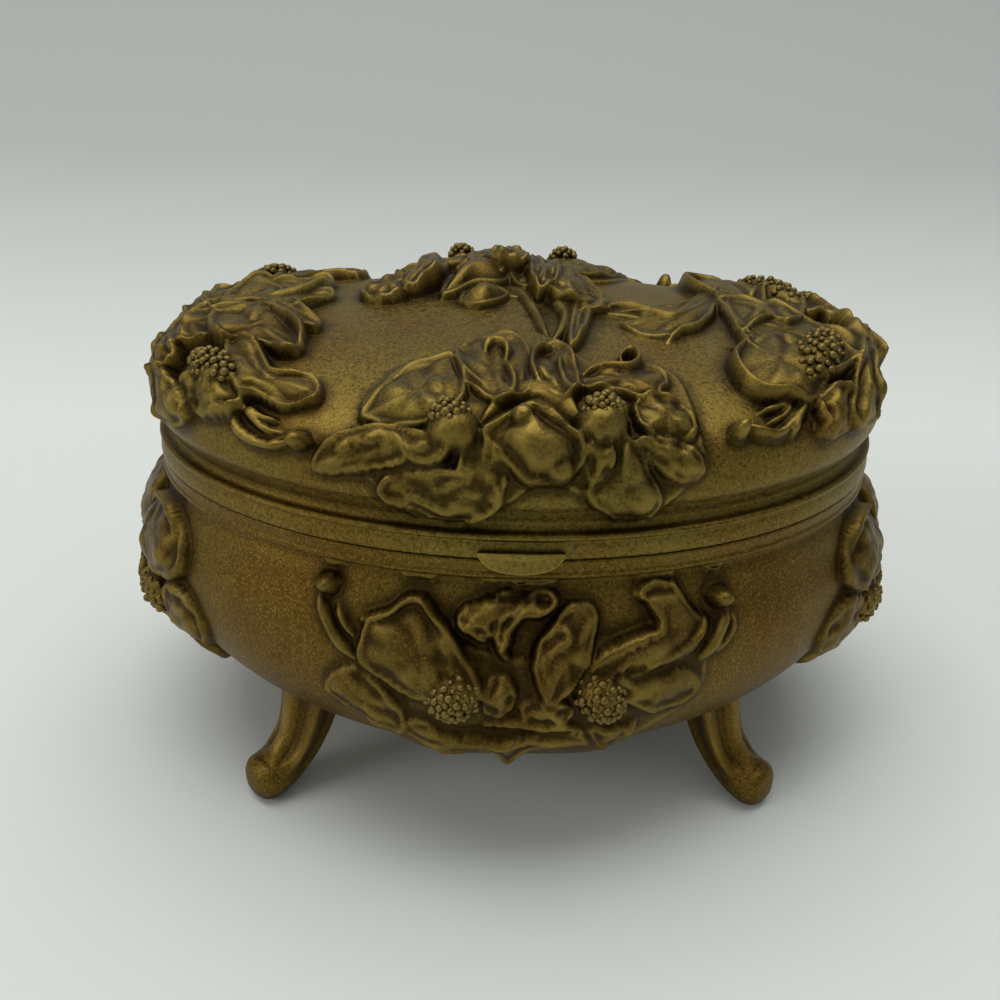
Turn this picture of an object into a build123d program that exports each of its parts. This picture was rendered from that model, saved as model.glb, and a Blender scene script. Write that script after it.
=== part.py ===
from build123d import *
import math
import os

# Frame: millimetres, origin on the floor under the middle, front at -Y, length along X.

# Overall sizes
rim_length = 140.0
rim_width = 102.0
seam_height = 59.0
belly_depth = 48.0
lid_rise = 24.0

# Casting
wall = 2.0
base_band = 3.6
lid_band = 4.6
wall_sections = 12
seam_gap = 0.2

# Flower relief
leaf_height = 3.0
petal_height = 5.0
bloom_height = 7.0
bloom_radius = 6.0

# Legs
toe_x = 46.0
toe_y = 40.5
toe_radius = 3.9
toe_flat = 0.3
toe_out = 1.0
ankle_radius = 3.1
ankle_back = 2.6
ankle_up = 0.9
shin_radius = 3.2
shin_out = 4.0
shin_height = 8.4
calf_radius = 3.8
calf_out = 1.2
calf_height = 14.0
knee_radius = 4.9
knee_drop = 1.5
shoulder_radius = 5.6
shoulder_reach = 51.5
shoulder_in = 0.6
leg_shoulder_drop = 37.0
leg_bury = 4.0
leg_side_stretch = 1.08

# Thumb tab
tab_width = 14.0
tab_top = 1.9
tab_drop = 3.7
tab_thickness = 1.3
tab_lean = 9.0
tab_root_depth = 1.6
tab_root_out = 0.7
tab_root_height = 1.5
tab_clearance = 0.35

# Hinges
hinge_x = 22.0
hinge_width = 12.0
knuckle_radius = 1.5
pin_radius = 0.70
bore_clearance = 0.05
knuckle_gap = 0.15
leaf_thickness = 0.8
leaf_drop = 5.4
leaf_edge_gap = 0.35
hinge_axis_y = 52.1
barrel_clearance = 0.35
pad_margin = 1.2
pin_head_radius = 1.0
pin_head_length = 0.5
rivet_radius = 0.6
rivet_head_radius = 1.15
rivet_head_height = 0.6
rivet_length = 2.2
rivet_pitch = 6.4
rivet_drop = 3.4

# Lining
card = 0.8
cloth = 0.8
floor_card_top = 41.0
floor_card = 1.0
floor_pad = 3.0
lining_top_drop = 2.8
braid_radius = 0.9
braid_snug = 0.05
lid_pad = 2.4
lid_lining_rise = 6.0

half_length = rim_length / 2
half_width = rim_width / 2
hinge_front_y = hinge_axis_y - knuckle_radius - barrel_clearance

# Side profiles: share of the depth or rise, growth at the ends, growth at the front and back
belly_profile = [
    (0.063, -1.2, -1.2),
    (0.190, 0.5, 0.8),
    (0.310, 2.5, 3.4),
    (0.440, 3.0, 4.8),
    (0.560, 1.5, 5.0),
    (0.690, -3.0, 3.6),
    (0.790, -9.0, 0.5),
    (0.895, -17.0, -5.0),
    (0.958, -26.0, -12.0),
    (1.000, -36.0, -22.0),
]
dome_profile = [
    (0.165, -1.2, -1.2),
    (0.375, 0.0, -0.8),
    (0.540, 1.2, -1.0),
    (0.690, 0.0, -3.5),
    (0.795, -4.0, -7.0),
    (0.875, -10.0, -12.0),
    (0.942, -20.0, -20.0),
    (0.983, -33.0, -30.0),
    (1.000, -45.0, -40.0),
]


def knots(profile, reach, up):
    """Heights and half sizes of each section of a profile."""
    return [
        (seam_height + up * share * reach, half_length + ends, half_width + sides)
        for share, ends, sides in profile
    ]


def evened(points):
    """The same profile as a smooth curve, cut into sections an equal way apart."""
    curve = Edge.make_spline([Vector(a, b, z) for z, a, b in points])
    spots = [curve @ (i / (wall_sections - 1)) for i in range(wall_sections)]
    return [(spot.Z, spot.X, spot.Y) for spot in spots]


def moved_out(points, amount):
    """The same sections moved along the wall's own outward direction."""
    moved = []
    last = len(points) - 1
    for i, (z, a, b) in enumerate(points):
        z0, a0, b0 = points[max(i - 1, 0)]
        z1, a1, b1 = points[min(i + 1, last)]
        rise = z1 - z0
        spread = ((a1 - a0) + (b1 - b0)) / 2
        long = math.hypot(rise, spread)
        turn = 1 if rise > 0 else -1
        across = abs(rise) / long
        along = -turn * spread / long
        moved.append((z + amount * along, a + amount * across, b + amount * across))
    return moved


def oval(z, a, b):
    """An oval face at a height."""
    return Plane.XY.offset(z) * Ellipse(a, b)


def bowl(points):
    """A smooth solid through oval sections."""
    return loft([oval(z, a, b) for z, a, b in points])


def oval_band(low, high, a, b):
    """A straight oval prism."""
    return extrude(oval(low, a, b), high - low)


def slab(low, high):
    """Everything between two heights."""
    size = 4 * rim_length
    return Pos(0, 0, (low + high) / 2) * Box(size, size, high - low)


belly_line = evened(knots(belly_profile, belly_depth, -1))
dome_line = evened(knots(dome_profile, lid_rise, 1))

lid_base_z = seam_height + seam_gap
lid_band_top = seam_height + lid_band
base_band_low = seam_height - base_band


# Hollows, which run on past the seam so that they cut it cleanly
def cavity(inset):
    """The bowl's hollow, moved in from the inner wall."""
    points = moved_out(belly_line, -wall - inset)
    z, a, b = points[0]
    return bowl(points) + oval_band(z, seam_height + 1, a, b)


def lid_hollow():
    """The lid's hollow."""
    points = moved_out(dome_line, -wall)
    z, a, b = points[0]
    return bowl(points) + oval_band(seam_height - 1, z, a, b)


# Flower relief
# Each petal: share of the way from the rim to the flat, degrees round from the front, half length
# along the wall, half length up the wall, turn in degrees, and whether it stands at full height
lid_front_petals = [
    (0.24, 1, 9.5, 9.0, 0, 1),
    (0.13, -10, 11.0, 5.0, -12, 1),
    (0.12, 15, 9.0, 5.0, 12, 1),
    (0.22, -22, 10.5, 4.6, 12, 1),
    (0.22, 21, 8.5, 5.0, -12, 1),
    (0.42, -20, 7.5, 4.2, -20, 0),
    (0.45, 22, 8.5, 4.2, 20, 0),
    (0.62, -7, 4.0, 9.0, 0, 1),
    (0.69, 7, 4.0, 10.0, 0, 1),
]
lid_front_blooms = [(0.32, -11.5), (0.34, 12)]
lid_end_petals = [
    (0.36, 90, 6.5, 8.0, 0, 1),
    (0.38, 57, 9.5, 5.5, -25, 1),
    (0.38, 123, 9.5, 5.5, 25, 1),
    (0.62, 67, 6.5, 3.6, -30, 0),
    (0.62, 113, 6.5, 3.6, 30, 0),
    (0.27, 42, 8.0, 4.0, 20, 0),
    (0.27, 138, 8.0, 4.0, -20, 0),
]
lid_end_blooms = [(0.34, 72), (0.34, 108)]
base_front_petals = [
    (0.18, -14, 8.0, 8.5, 0, 1),
    (0.21, 13.5, 6.0, 8.0, 0, 1),
    (0.14, 0, 6.5, 6.5, 0, 1),
    (0.29, 0, 4.0, 9.0, 0, 1),
    (0.16, 22, 4.5, 8.0, -18, 0),
    (0.17, -24, 3.6, 8.0, 20, 0),
    (0.375, -18, 8.0, 4.5, -35, 0),
    (0.38, 19.5, 8.0, 4.5, 35, 0),
    (0.51, 0, 8.0, 6.0, 0, 1),
    (0.50, -11, 6.5, 4.5, 20, 0),
    (0.50, 12, 6.5, 4.5, -20, 0),
]
base_front_blooms = [(0.32, -10), (0.325, 11.5)]
base_end_petals = [
    (0.12, 90, 8.0, 6.0, 0, 1),
    (0.13, 73, 7.0, 5.5, -15, 1),
    (0.13, 107, 7.0, 5.5, 15, 1),
    (0.33, 90, 6.0, 7.0, 0, 1),
    (0.29, 71, 8.0, 4.0, -30, 0),
    (0.29, 109, 8.0, 4.0, 30, 0),
]
base_end_blooms = [(0.22, 81), (0.22, 99)]


def seat(points, share, around):
    """A place on a wall: X runs along the wall, Y up it and Z straight out of it."""
    step = share * (len(points) - 1)
    i = min(int(step), len(points) - 2)
    part = step - i
    z0, a0, b0 = points[i]
    z1, a1, b1 = points[i + 1]
    turn = math.radians(around)
    along_x = math.sin(turn)
    along_y = -math.cos(turn)
    long = a0 + (a1 - a0) * part
    wide = b0 + (b1 - b0) * part
    spot = Vector(long * along_x, wide * along_y, z0 + (z1 - z0) * part)
    across = Vector((a0 + a1) * math.cos(turn), (b0 + b1) * math.sin(turn), 0).normalized()
    up = Vector((a1 - a0) * along_x, (b1 - b0) * along_y, z1 - z0).normalized()
    if up.Z < 0:
        up = up * -1
    return Plane(origin=spot, x_dir=across, z_dir=across.cross(up))


def swell(points, share, around, half_long, half_up, turn, height):
    """A rounded petal that stands out of a wall."""
    body = scale(Sphere(1), by=(half_long, half_up, height))
    return seat(points, share, around) * (Rot(0, 0, turn) * body)


def flower_group(points, petals, blooms):
    """All petals and flower hearts of one group."""
    pieces = []
    for share, around, half_long, half_up, turn, full in petals:
        height = petal_height if full else leaf_height
        pieces.append(swell(points, share, around, half_long, half_up, turn, height))
    for share, around in blooms:
        pieces.append(swell(points, share, around, bloom_radius, bloom_radius, 0, bloom_height))
    return pieces


def all_round(points, front_petals, front_blooms, end_petals, end_blooms):
    """The front and right end groups, and the same turned half round to the back and left."""
    group = flower_group(points, front_petals, front_blooms)
    group += flower_group(points, end_petals, end_blooms)
    return group + [Rot(0, 0, 180) * piece for piece in group]


lid_relief = all_round(dome_line, lid_front_petals, lid_front_blooms, lid_end_petals, lid_end_blooms)
base_relief = all_round(belly_line, base_front_petals, base_front_blooms, base_end_petals, base_end_blooms)


# Hinge places
def hinge_block(side, low, high, front, back, widen):
    """A block behind the rim, centred on one hinge."""
    wide = hinge_width + 2 * widen
    deep = back - front
    middle = Pos(side * hinge_x, (front + back) / 2, (low + high) / 2)
    return middle * Box(wide, deep, high - low)


pad_reach = leaf_drop + pad_margin
hinge_sides = (-1, 1)
side_name = {-1: "left", 1: "right"}


def rivet_place(side, i, level):
    """Where a rivet crosses the leaf's outer face."""
    return Pos(side * hinge_x + i * rivet_pitch / 2, hinge_front_y + leaf_thickness, seam_height + level)


def rivet_hole(side, i, level):
    """The straight hole that a rivet's shank fills."""
    return rivet_place(side, i, level) * Rot(90, 0, 0) * extrude(Circle(rivet_radius), rivet_length)


# Bowl
base_body = bowl(belly_line) + oval_band(base_band_low, seam_height, half_length, half_width)
base_outer = base_body.fuse(*base_relief)
pad_low = seam_height - pad_reach
for side in hinge_sides:
    base_outer -= hinge_block(side, pad_low, seam_height, hinge_front_y, rim_width, pad_margin)
    base_outer += hinge_block(side, pad_low, seam_height, half_width / 2, hinge_front_y, pad_margin)
base_shell = (base_outer - cavity(0)) & slab(0, seam_height)

tab_centre = Pos(0, -half_width, seam_height + tab_top) * Rot(-tab_lean, 0, 0)


def tab_plate(grow):
    """The half round plate of the thumb tab, with its flat back on the band."""
    reach = tab_drop + grow
    lower_half = Pos(0, -reach / 2) * Rectangle(2 * tab_width, reach)
    outline = Ellipse(tab_width / 2 + grow, reach) & lower_half
    upright = Plane(origin=(0, 0, 0), x_dir=(1, 0, 0), z_dir=(0, -1, 0))
    return tab_centre * extrude(upright * outline, tab_thickness + grow)


tab_space = tab_plate(tab_clearance)
tab_space += Pos(0, tab_clearance, 0) * tab_space
base_shell -= tab_space & slab(0, seam_height + seam_gap)
for side in hinge_sides:
    for i in (-1, 1):
        base_shell -= rivet_hole(side, i, -rivet_drop)
os.makedirs("parts", exist_ok=True)
export_step(base_shell, "parts/base_shell.step")

# Lid
lid_body = bowl(dome_line) + oval_band(lid_base_z, lid_band_top, half_length, half_width)
lid_outer = lid_body.fuse(*lid_relief)
pad_high = seam_height + pad_reach
for side in hinge_sides:
    lid_outer -= hinge_block(side, lid_base_z, pad_high, hinge_front_y, rim_width, pad_margin)
    lid_outer += hinge_block(side, lid_base_z, pad_high, half_width / 2, hinge_front_y, pad_margin)
lid_shell = (lid_outer - lid_hollow()) & slab(lid_base_z, seam_height + 3 * lid_rise)

tab_root_y = -half_width + (tab_root_depth - tab_root_out) / 2
tab_root = Pos(0, tab_root_y, lid_base_z + tab_root_height / 2)
tab_root = tab_root * Box(tab_width / 2, tab_root_depth + tab_root_out, tab_root_height)
lift_tab = tab_plate(0)
lift_tab = (lift_tab - lid_body) + tab_root
lid_shell -= tab_root
for side in hinge_sides:
    for i in (-1, 1):
        lid_shell -= rivet_hole(side, i, rivet_drop)
export_step(lid_shell, "parts/lid_shell.step")
export_step(lift_tab, "parts/lift_tab.step")

# Legs: a curved horn in an upright plane through the toe, cut to the bowl's own surface
toe_reach = math.hypot(toe_x, toe_y)
shoulder_z = seam_height - leg_shoulder_drop
toe_z = toe_radius - toe_flat
# Each section of the horn: reach from the middle, height, radius, and the horn's slope there in degrees
leg_line = [
    (shoulder_reach - shoulder_in, shoulder_z + leg_bury, shoulder_radius, 90),
    (shoulder_reach, shoulder_z - knee_drop, knee_radius, 88),
    (shoulder_reach + calf_out, calf_height, calf_radius, 76),
    (shoulder_reach + shin_out, shin_height, shin_radius, 58),
    (toe_reach - ankle_back, toe_radius + ankle_up, ankle_radius, 34),
    (toe_reach + toe_out, toe_z, ankle_radius, 8),
]


def leg(x_side, y_side):
    """One leg, standing on the floor."""
    heading = math.degrees(math.atan2(y_side * toe_y, x_side * toe_x))
    rings = []
    for reach, z, radius, slope in leg_line:
        down = Vector(math.cos(math.radians(slope)), 0, -math.sin(math.radians(slope)))
        ring = Plane(origin=(reach, 0, z), x_dir=(0, 1, 0), z_dir=(down.X, down.Y, down.Z))
        rings.append(ring * Ellipse(radius * leg_side_stretch, radius))
    toe = Pos(toe_reach + toe_out, 0, toe_z) * Sphere(toe_radius)
    horn = (loft(rings) + toe) & slab(0, seam_height)
    return Rot(0, 0, heading) * horn - base_body


export_step(leg(-1, -1), "parts/leg_front_left.step")
export_step(leg(1, -1), "parts/leg_front_right.step")
export_step(leg(-1, 1), "parts/leg_rear_left.step")
export_step(leg(1, 1), "parts/leg_rear_right.step")

# Hinges: three knuckles on one pin, with flat leaves riveted to pads behind the rims
knuckle_length = (hinge_width - 2 * knuckle_gap) / 3
knuckle_pitch = knuckle_length + knuckle_gap


def knuckle_place(side, i):
    """The middle of one knuckle, with Z along the pin."""
    return Pos(side * hinge_x + i * knuckle_pitch, hinge_axis_y, seam_height) * Rot(0, 90, 0)


def knuckle(side, i, bore):
    """One knuckle of the barrel."""
    tube = Cylinder(knuckle_radius, knuckle_length) - Cylinder(bore, 2 * knuckle_length)
    return knuckle_place(side, i) * tube


def leaf(side, up, places, bore):
    """One leaf: a flat plate with its knuckles, holed for the rivets."""
    near = seam_height + up * leaf_edge_gap
    far = seam_height + up * leaf_drop
    back = hinge_front_y + leaf_thickness
    shape = hinge_block(side, min(near, far), max(near, far), hinge_front_y, back, 0)
    room = Cylinder(knuckle_radius + barrel_clearance, knuckle_length + 2 * knuckle_gap)
    for i in (-1, 0, 1):
        if i not in places:
            shape -= knuckle_place(side, i) * room
    for i in places:
        arm_z = seam_height + up * (leaf_edge_gap + knuckle_radius) / 2
        arm = Pos(side * hinge_x + i * knuckle_pitch, (hinge_front_y + hinge_axis_y) / 2, arm_z)
        arm = arm * Box(knuckle_length, hinge_axis_y - hinge_front_y, knuckle_radius - leaf_edge_gap)
        arm -= knuckle_place(side, i) * Cylinder(bore, 2 * knuckle_length)
        shape += arm + knuckle(side, i, bore)
    for i in (-1, 1):
        shape -= rivet_hole(side, i, up * rivet_drop)
    return shape


def rivets(side, up):
    """Two round headed rivets."""
    pieces = []
    for i in (-1, 1):
        upper = Pos(0, 0, rivet_head_radius) * Cylinder(2 * rivet_head_radius, 2 * rivet_head_radius)
        dome = Sphere(rivet_head_radius) & upper
        head = scale(dome, by=(1, 1, rivet_head_height / rivet_head_radius))
        whole = rivet_place(side, i, up * rivet_drop) * Rot(-90, 0, 0) * head
        pieces.append(whole + rivet_hole(side, i, up * rivet_drop))
    return Compound(children=pieces)


for side in hinge_sides:
    name = side_name[side]
    export_step(leaf(side, -1, (-1, 1), pin_radius), "parts/hinge_" + name + "_base_leaf.step")
    export_step(leaf(side, 1, (0,), pin_radius + bore_clearance), "parts/hinge_" + name + "_lid_leaf.step")
    export_step(rivets(side, -1), "parts/hinge_" + name + "_base_rivets.step")
    export_step(rivets(side, 1), "parts/hinge_" + name + "_lid_rivets.step")
    axle = knuckle_place(side, 0)
    pin = axle * Cylinder(pin_radius, hinge_width)
    for end in (-1, 1):
        head_place = axle * Pos(0, 0, end * (hinge_width + pin_head_length) / 2)
        pin += head_place * Cylinder(pin_head_radius, pin_head_length)
    export_step(pin, "parts/hinge_" + name + "_pin.step")

# Lining of the bowl
floor_z = seam_height - floor_card_top
lining_top = seam_height - lining_top_drop
wall_zone = slab(floor_z, lining_top)
export_step(cavity(0) & slab(floor_z - floor_card, floor_z), "parts/base_floor_card.step")
export_step((cavity(0) - cavity(card)) & wall_zone, "parts/base_wall_card.step")
export_step((cavity(card) - cavity(card + cloth)) & wall_zone, "parts/base_wall_lining.step")
pad_zone = slab(floor_z, floor_z + floor_pad)
export_step(cavity(card + cloth) & pad_zone, "parts/base_floor_pad.step")


def braid(z, points):
    """A round cord that follows the inside of the rim."""
    inner_z, inner_a, inner_b = moved_out(points, -wall)[0]
    inset = braid_radius + braid_snug
    path = Wire(Edge.make_ellipse(inner_a - inset, inner_b - inset, plane=Plane.XY.offset(z)))
    start = Plane(origin=path @ 0, z_dir=path % 0)
    return sweep(start * Circle(braid_radius), path=path)


export_step(braid(lining_top + braid_radius, belly_line), "parts/base_lining_braid.step")

# Lining of the lid
lid_zone = slab(seam_height + lid_lining_rise, seam_height + lid_rise)
lid_card_top = bowl(moved_out(dome_line, -wall)) & lid_zone
lid_card_face = bowl(moved_out(dome_line, -wall - card))
lid_pad_face = bowl(moved_out(dome_line, -wall - card - lid_pad))
export_step(lid_card_top - lid_card_face, "parts/lid_lining_card.step")
export_step((lid_card_face & lid_zone) - lid_pad_face, "parts/lid_lining_pad.step")
lid_neck_top = moved_out(dome_line, -wall)[0][0]
export_step(braid(lid_neck_top - braid_radius - braid_snug, dome_line), "parts/lid_lining_braid.step")
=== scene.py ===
# %% [markdown]
# A footed jewelry casket, cast in a soft white metal and gilded, with flowers in high relief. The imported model
# gives the frame: where every piece is, how the lid turns, and how large the object is. It is loaded first, because
# every shape below is placed in that frame, in metres.
# %% Load the frame
import math
import bpy
import bmesh
import numpy as np
from mathutils import Matrix, Vector
from mathutils.bvhtree import BVHTree


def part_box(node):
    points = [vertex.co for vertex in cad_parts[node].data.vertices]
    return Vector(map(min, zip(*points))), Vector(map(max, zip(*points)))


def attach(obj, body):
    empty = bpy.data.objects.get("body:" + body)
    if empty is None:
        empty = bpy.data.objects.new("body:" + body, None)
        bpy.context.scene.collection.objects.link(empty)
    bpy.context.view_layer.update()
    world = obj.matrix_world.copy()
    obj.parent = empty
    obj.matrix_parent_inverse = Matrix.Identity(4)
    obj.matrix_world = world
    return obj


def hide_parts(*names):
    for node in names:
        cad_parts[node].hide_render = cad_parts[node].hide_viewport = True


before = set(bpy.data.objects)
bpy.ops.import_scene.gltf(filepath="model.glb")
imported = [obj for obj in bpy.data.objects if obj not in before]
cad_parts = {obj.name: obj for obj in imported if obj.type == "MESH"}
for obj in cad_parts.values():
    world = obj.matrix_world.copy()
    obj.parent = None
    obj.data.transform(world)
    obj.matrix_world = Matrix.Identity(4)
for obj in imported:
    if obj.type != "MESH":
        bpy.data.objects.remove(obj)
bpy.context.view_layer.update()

# %% [markdown]
# The photograph was taken from a little above, almost straight from the front. The camera's place and turn were
# fitted to where the seam, the tab and the toes fall in the picture, with the focal length and the view's elevation
# held at chosen values. The same numbers are used again further down, to put each petal where the picture shows it.
# %% Camera
MM = 0.001
SEAM = 59.0
EYE = np.array([-6.187, -186.097, 83.770 + SEAM])
AZIMUTH, ELEVATION, ROLL = 0.018934, 0.493778, 0.026144
ahead = np.array([math.sin(AZIMUTH) * math.cos(ELEVATION), math.cos(AZIMUTH) * math.cos(ELEVATION),
                  -math.sin(ELEVATION)])
level = np.array([math.cos(AZIMUTH), -math.sin(AZIMUTH), 0.0])
upright = np.cross(level, ahead)
across = level * math.cos(ROLL) + upright * math.sin(ROLL)
upward = -level * math.sin(ROLL) + upright * math.cos(ROLL)
FOCAL_PIXELS, PICTURE_CENTRE = 1000.0, 500.0

lens = bpy.data.cameras.new("camera")
lens.lens = 36.0
lens.sensor_width = 36.0
lens.clip_start = 0.01
camera = bpy.data.objects.new("camera", lens)
bpy.context.scene.collection.objects.link(camera)
turn = Matrix([list(across), list(upward), list(-ahead)]).transposed().to_4x4()
camera.matrix_world = Matrix.Translation(Vector(EYE * MM)) @ turn
bpy.context.scene.camera = camera
print("camera at", [round(v, 1) for v in EYE], "mm")

# %% [markdown]
# A casting of this kind has no flat places, so its walls are described by rows: a height and the two half widths of
# the oval at that height. A smooth line through the rows gives the ground that the flowers are laid on. The same
# line, moved in by the metal's thickness, gives the inside.
# %% A smooth line through points
def all_round(count):
    return np.arange(count) / count * 2 * np.pi


def smooth(points, steps, closed=False):
    pts = np.asarray(points, dtype=float)
    if closed:
        pts = np.vstack([pts[-1], pts, pts[0], pts[1]])
    else:
        pts = np.vstack([2 * pts[0] - pts[1], pts, 2 * pts[-1] - pts[-2]])
    found = []
    for p0, p1, p2, p3 in zip(pts, pts[1:], pts[2:], pts[3:]):
        t = np.linspace(0, 1, 17)[:-1, None]
        found.append(0.5 * (2 * p1 + (p2 - p0) * t + (2 * p0 - 5 * p1 + 4 * p2 - p3) * t ** 2
                            + (3 * p1 - p0 - 3 * p2 + p3) * t ** 3))
    line = np.vstack(found + [pts[-2][None] if not closed else found[0][:1]])
    along = np.concatenate([[0], np.cumsum(np.linalg.norm(np.diff(line, axis=0), axis=1))])
    at = np.linspace(0, along[-1], steps + 1)
    if closed:
        at = at[:-1]
    return np.stack([np.interp(at, along, line[:, k]) for k in range(line.shape[1])], axis=1)


class Wall:
    def __init__(self, rows, steps=240):
        line = smooth(rows, steps)
        self.z, self.a, self.b = line.T
        self.dz, self.da, self.db = (np.gradient(v) for v in line.T)

    def moved(self, rise):
        la = np.hypot(self.dz, self.da) + 1e-9
        lb = np.hypot(self.dz, self.db) + 1e-9
        out = 1.0 if self.z[-1] > self.z[0] else -1.0
        z = self.z - out * rise * (self.da / la + self.db / lb) / 2
        a = np.maximum(self.a + out * rise * self.dz / la, 0)
        b = np.maximum(self.b + out * rise * self.dz / lb, 0)
        return z, a, b

    def normal(self, s, t):
        index = np.arange(len(self.z))
        a, b, da, db, dz = (np.interp(s, index, v) for v in (self.a, self.b, self.da, self.db, self.dz))
        a, b = np.maximum(a, 0.5), np.maximum(b, 0.5)
        round_by = np.stack([-a * np.sin(t), b * np.cos(t), np.zeros_like(t)], axis=-1)
        upslope = np.stack([da * np.cos(t), db * np.sin(t), dz], axis=-1)
        n = np.cross(round_by, upslope)
        if self.z[-1] < self.z[0]:
            n = -n
        return n / (np.linalg.norm(n, axis=-1, keepdims=True) + 1e-12)

    def point(self, s, t):
        index = np.arange(len(self.z))
        z, a, b = (np.interp(s, index, v) for v in (self.z, self.a, self.b))
        return np.stack([a * np.cos(t), b * np.sin(t), z], axis=-1)


LID_ROWS = [(63.55, 68.3, 49.1), (64.7, 67.7, 48.6), (66.6, 68.6, 49.2), (69.3, 70.3, 50.1),
            (75.06, 70.37, 47.99), (78.06, 66.06, 44.05), (79.71, 61.12, 39.95), (80.8, 56.07, 35.77),
            (81.51, 50.89, 31.69), (82.03, 45.64, 27.66), (82.41, 40.38, 23.63), (82.67, 35.15, 19.54),
            (82.85, 30.01, 15.35), (83.0, 25.0, 11.0), (83.1, 12.0, 5.2), (83.14, 0.0, 0.0)]
BASE_ROWS = [(55.45, 69.1, 50.1), (54.4, 68.5, 49.6), (52.3, 69.5, 50.8), (49.44, 70.67, 52.01),
             (43.13, 72.71, 54.73), (36.11, 72.76, 55.97), (29.54, 70.05, 55.68), (24.42, 65.4, 53.88),
             (20.48, 60.15, 50.98), (17.07, 54.93, 47.41), (14.59, 49.52, 43.41), (13.03, 44.04, 39.04),
             (11.92, 38.81, 34.25), (11.15, 34.0, 29.0), (10.9, 16.0, 13.6), (10.85, 0.0, 0.0)]
lid_wall = Wall(LID_ROWS)
base_wall = Wall(BASE_ROWS)
print("lid wall rises to", round(float(lid_wall.z.max()), 2), "mm, base wall falls to",
      round(float(base_wall.z.min()), 2), "mm")

# %% [markdown]
# Relief is modelled on a casting the way a modeller works in wax: a petal is drawn on the wall, then raised. So each
# shape below is drawn flat, and a place function puts it on the wall. The first reads a shape in the photograph's
# own pixels and drops it along the camera's rays onto the wall, raised by the petal's height, so that the petal sits
# on the wall and still covers the same pixels. The second reads millimetres round and up the wall, for the sides
# that the picture doesn't show.
# %% Put a drawn shape on the wall
def seen(wall, rise):
    z, a, b = wall.moved(rise)
    order = np.argsort(z)
    z, a, b, index = z[order], a[order], b[order], np.arange(len(z))[order].astype(float)

    def outside(p):
        pa = np.maximum(np.interp(p[..., 2], z, a), 1e-3)
        pb = np.maximum(np.interp(p[..., 2], z, b), 1e-3)
        e = np.sqrt((p[..., 0] / pa) ** 2 + (p[..., 1] / pb) ** 2) - 1
        over = np.maximum(p[..., 2] - z[-1], z[0] - p[..., 2]) / 40
        return np.maximum(e, over)

    def place(xy, height):
        xy = np.atleast_2d(np.asarray(xy, dtype=float))
        height = np.broadcast_to(np.asarray(height, dtype=float), (len(xy),))
        right, up = (xy[:, :1] - PICTURE_CENTRE) / FOCAL_PIXELS, (PICTURE_CENTRE - xy[:, 1:2]) / FOCAL_PIXELS
        ray = across * right + upward * up + ahead
        ray = ray / np.linalg.norm(ray, axis=1, keepdims=True)
        near, far = 100.0, 300.0
        steps = np.linspace(near, far, 160)
        out = outside(EYE + ray[:, None, :] * steps[None, :, None])
        hit = out < 0
        first = np.where(hit.any(axis=1), hit.argmax(axis=1), out.argmin(axis=1))
        lo, hi = steps[np.maximum(first - 1, 0)], steps[first]
        for _ in range(22):
            mid = (lo + hi) / 2
            within = outside(EYE + ray * mid[:, None]) < 0
            hi = np.where(within, mid, hi)
            lo = np.where(within, lo, mid)
        touch = np.where(hit.any(axis=1), hi, steps[first])
        p = EYE + ray * touch[:, None]
        s = np.interp(p[:, 2], z, index)
        t = np.arctan2(p[:, 1] / np.maximum(np.interp(p[:, 2], z, b), 1e-3),
                       p[:, 0] / np.maximum(np.interp(p[:, 2], z, a), 1e-3))
        n = wall.normal(s, t)
        surface = np.where(hit.any(axis=1)[:, None], p - rise * n, wall.point(s, t))
        return surface + n * height[:, None]

    return place


def round_wall(wall, start):
    turns = np.linspace(0, 2 * np.pi, 721)
    oval = np.stack([70 * np.cos(turns), 52 * np.sin(turns)], axis=1)
    arc = np.concatenate([[0], np.cumsum(np.linalg.norm(np.diff(oval, axis=0), axis=1))])
    begin = np.interp(start % (2 * np.pi), turns, arc)
    mean = (wall.a + wall.b) / 2
    up = np.concatenate([[0], np.cumsum(np.hypot(np.diff(wall.z), np.diff(mean)))])

    def place(xy, height):
        xy = np.atleast_2d(np.asarray(xy, dtype=float))
        height = np.broadcast_to(np.asarray(height, dtype=float), (len(xy),))
        t = np.interp((begin + xy[:, 0]) % arc[-1], arc, turns)
        s = np.interp(xy[:, 1], up, np.arange(len(up)))
        return wall.point(s, t) + wall.normal(s, t) * height[:, None]

    return place


print("one tab corner falls at", np.round(seen(base_wall, 0.0)([[500, 600]], 0.0), 1))

# %% [markdown]
# Each relief shape is a grid of points, ring by ring, closed below and above so that it is a solid lump standing on
# the wall, as a modeller's wax petal is.
# %% Keep shapes as points and faces
class Shape:
    def __init__(self, points, faces, worn=None, dark=None):
        self.points = np.asarray(points, dtype=float)
        self.faces = faces
        self.worn = np.zeros(len(points)) if worn is None else worn
        self.dark = np.zeros(len(points)) if dark is None else dark

    def turned(self):
        return Shape(self.points * [-1, -1, 1], self.faces)

    def mirrored(self):
        return Shape(self.points * [1, -1, 1], [f[::-1] for f in self.faces])


def ring_faces(rings, count):
    return [(i * count + j, i * count + (j + 1) % count, (i + 1) * count + (j + 1) % count, (i + 1) * count + j)
            for i in range(rings - 1) for j in range(count)]


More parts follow.
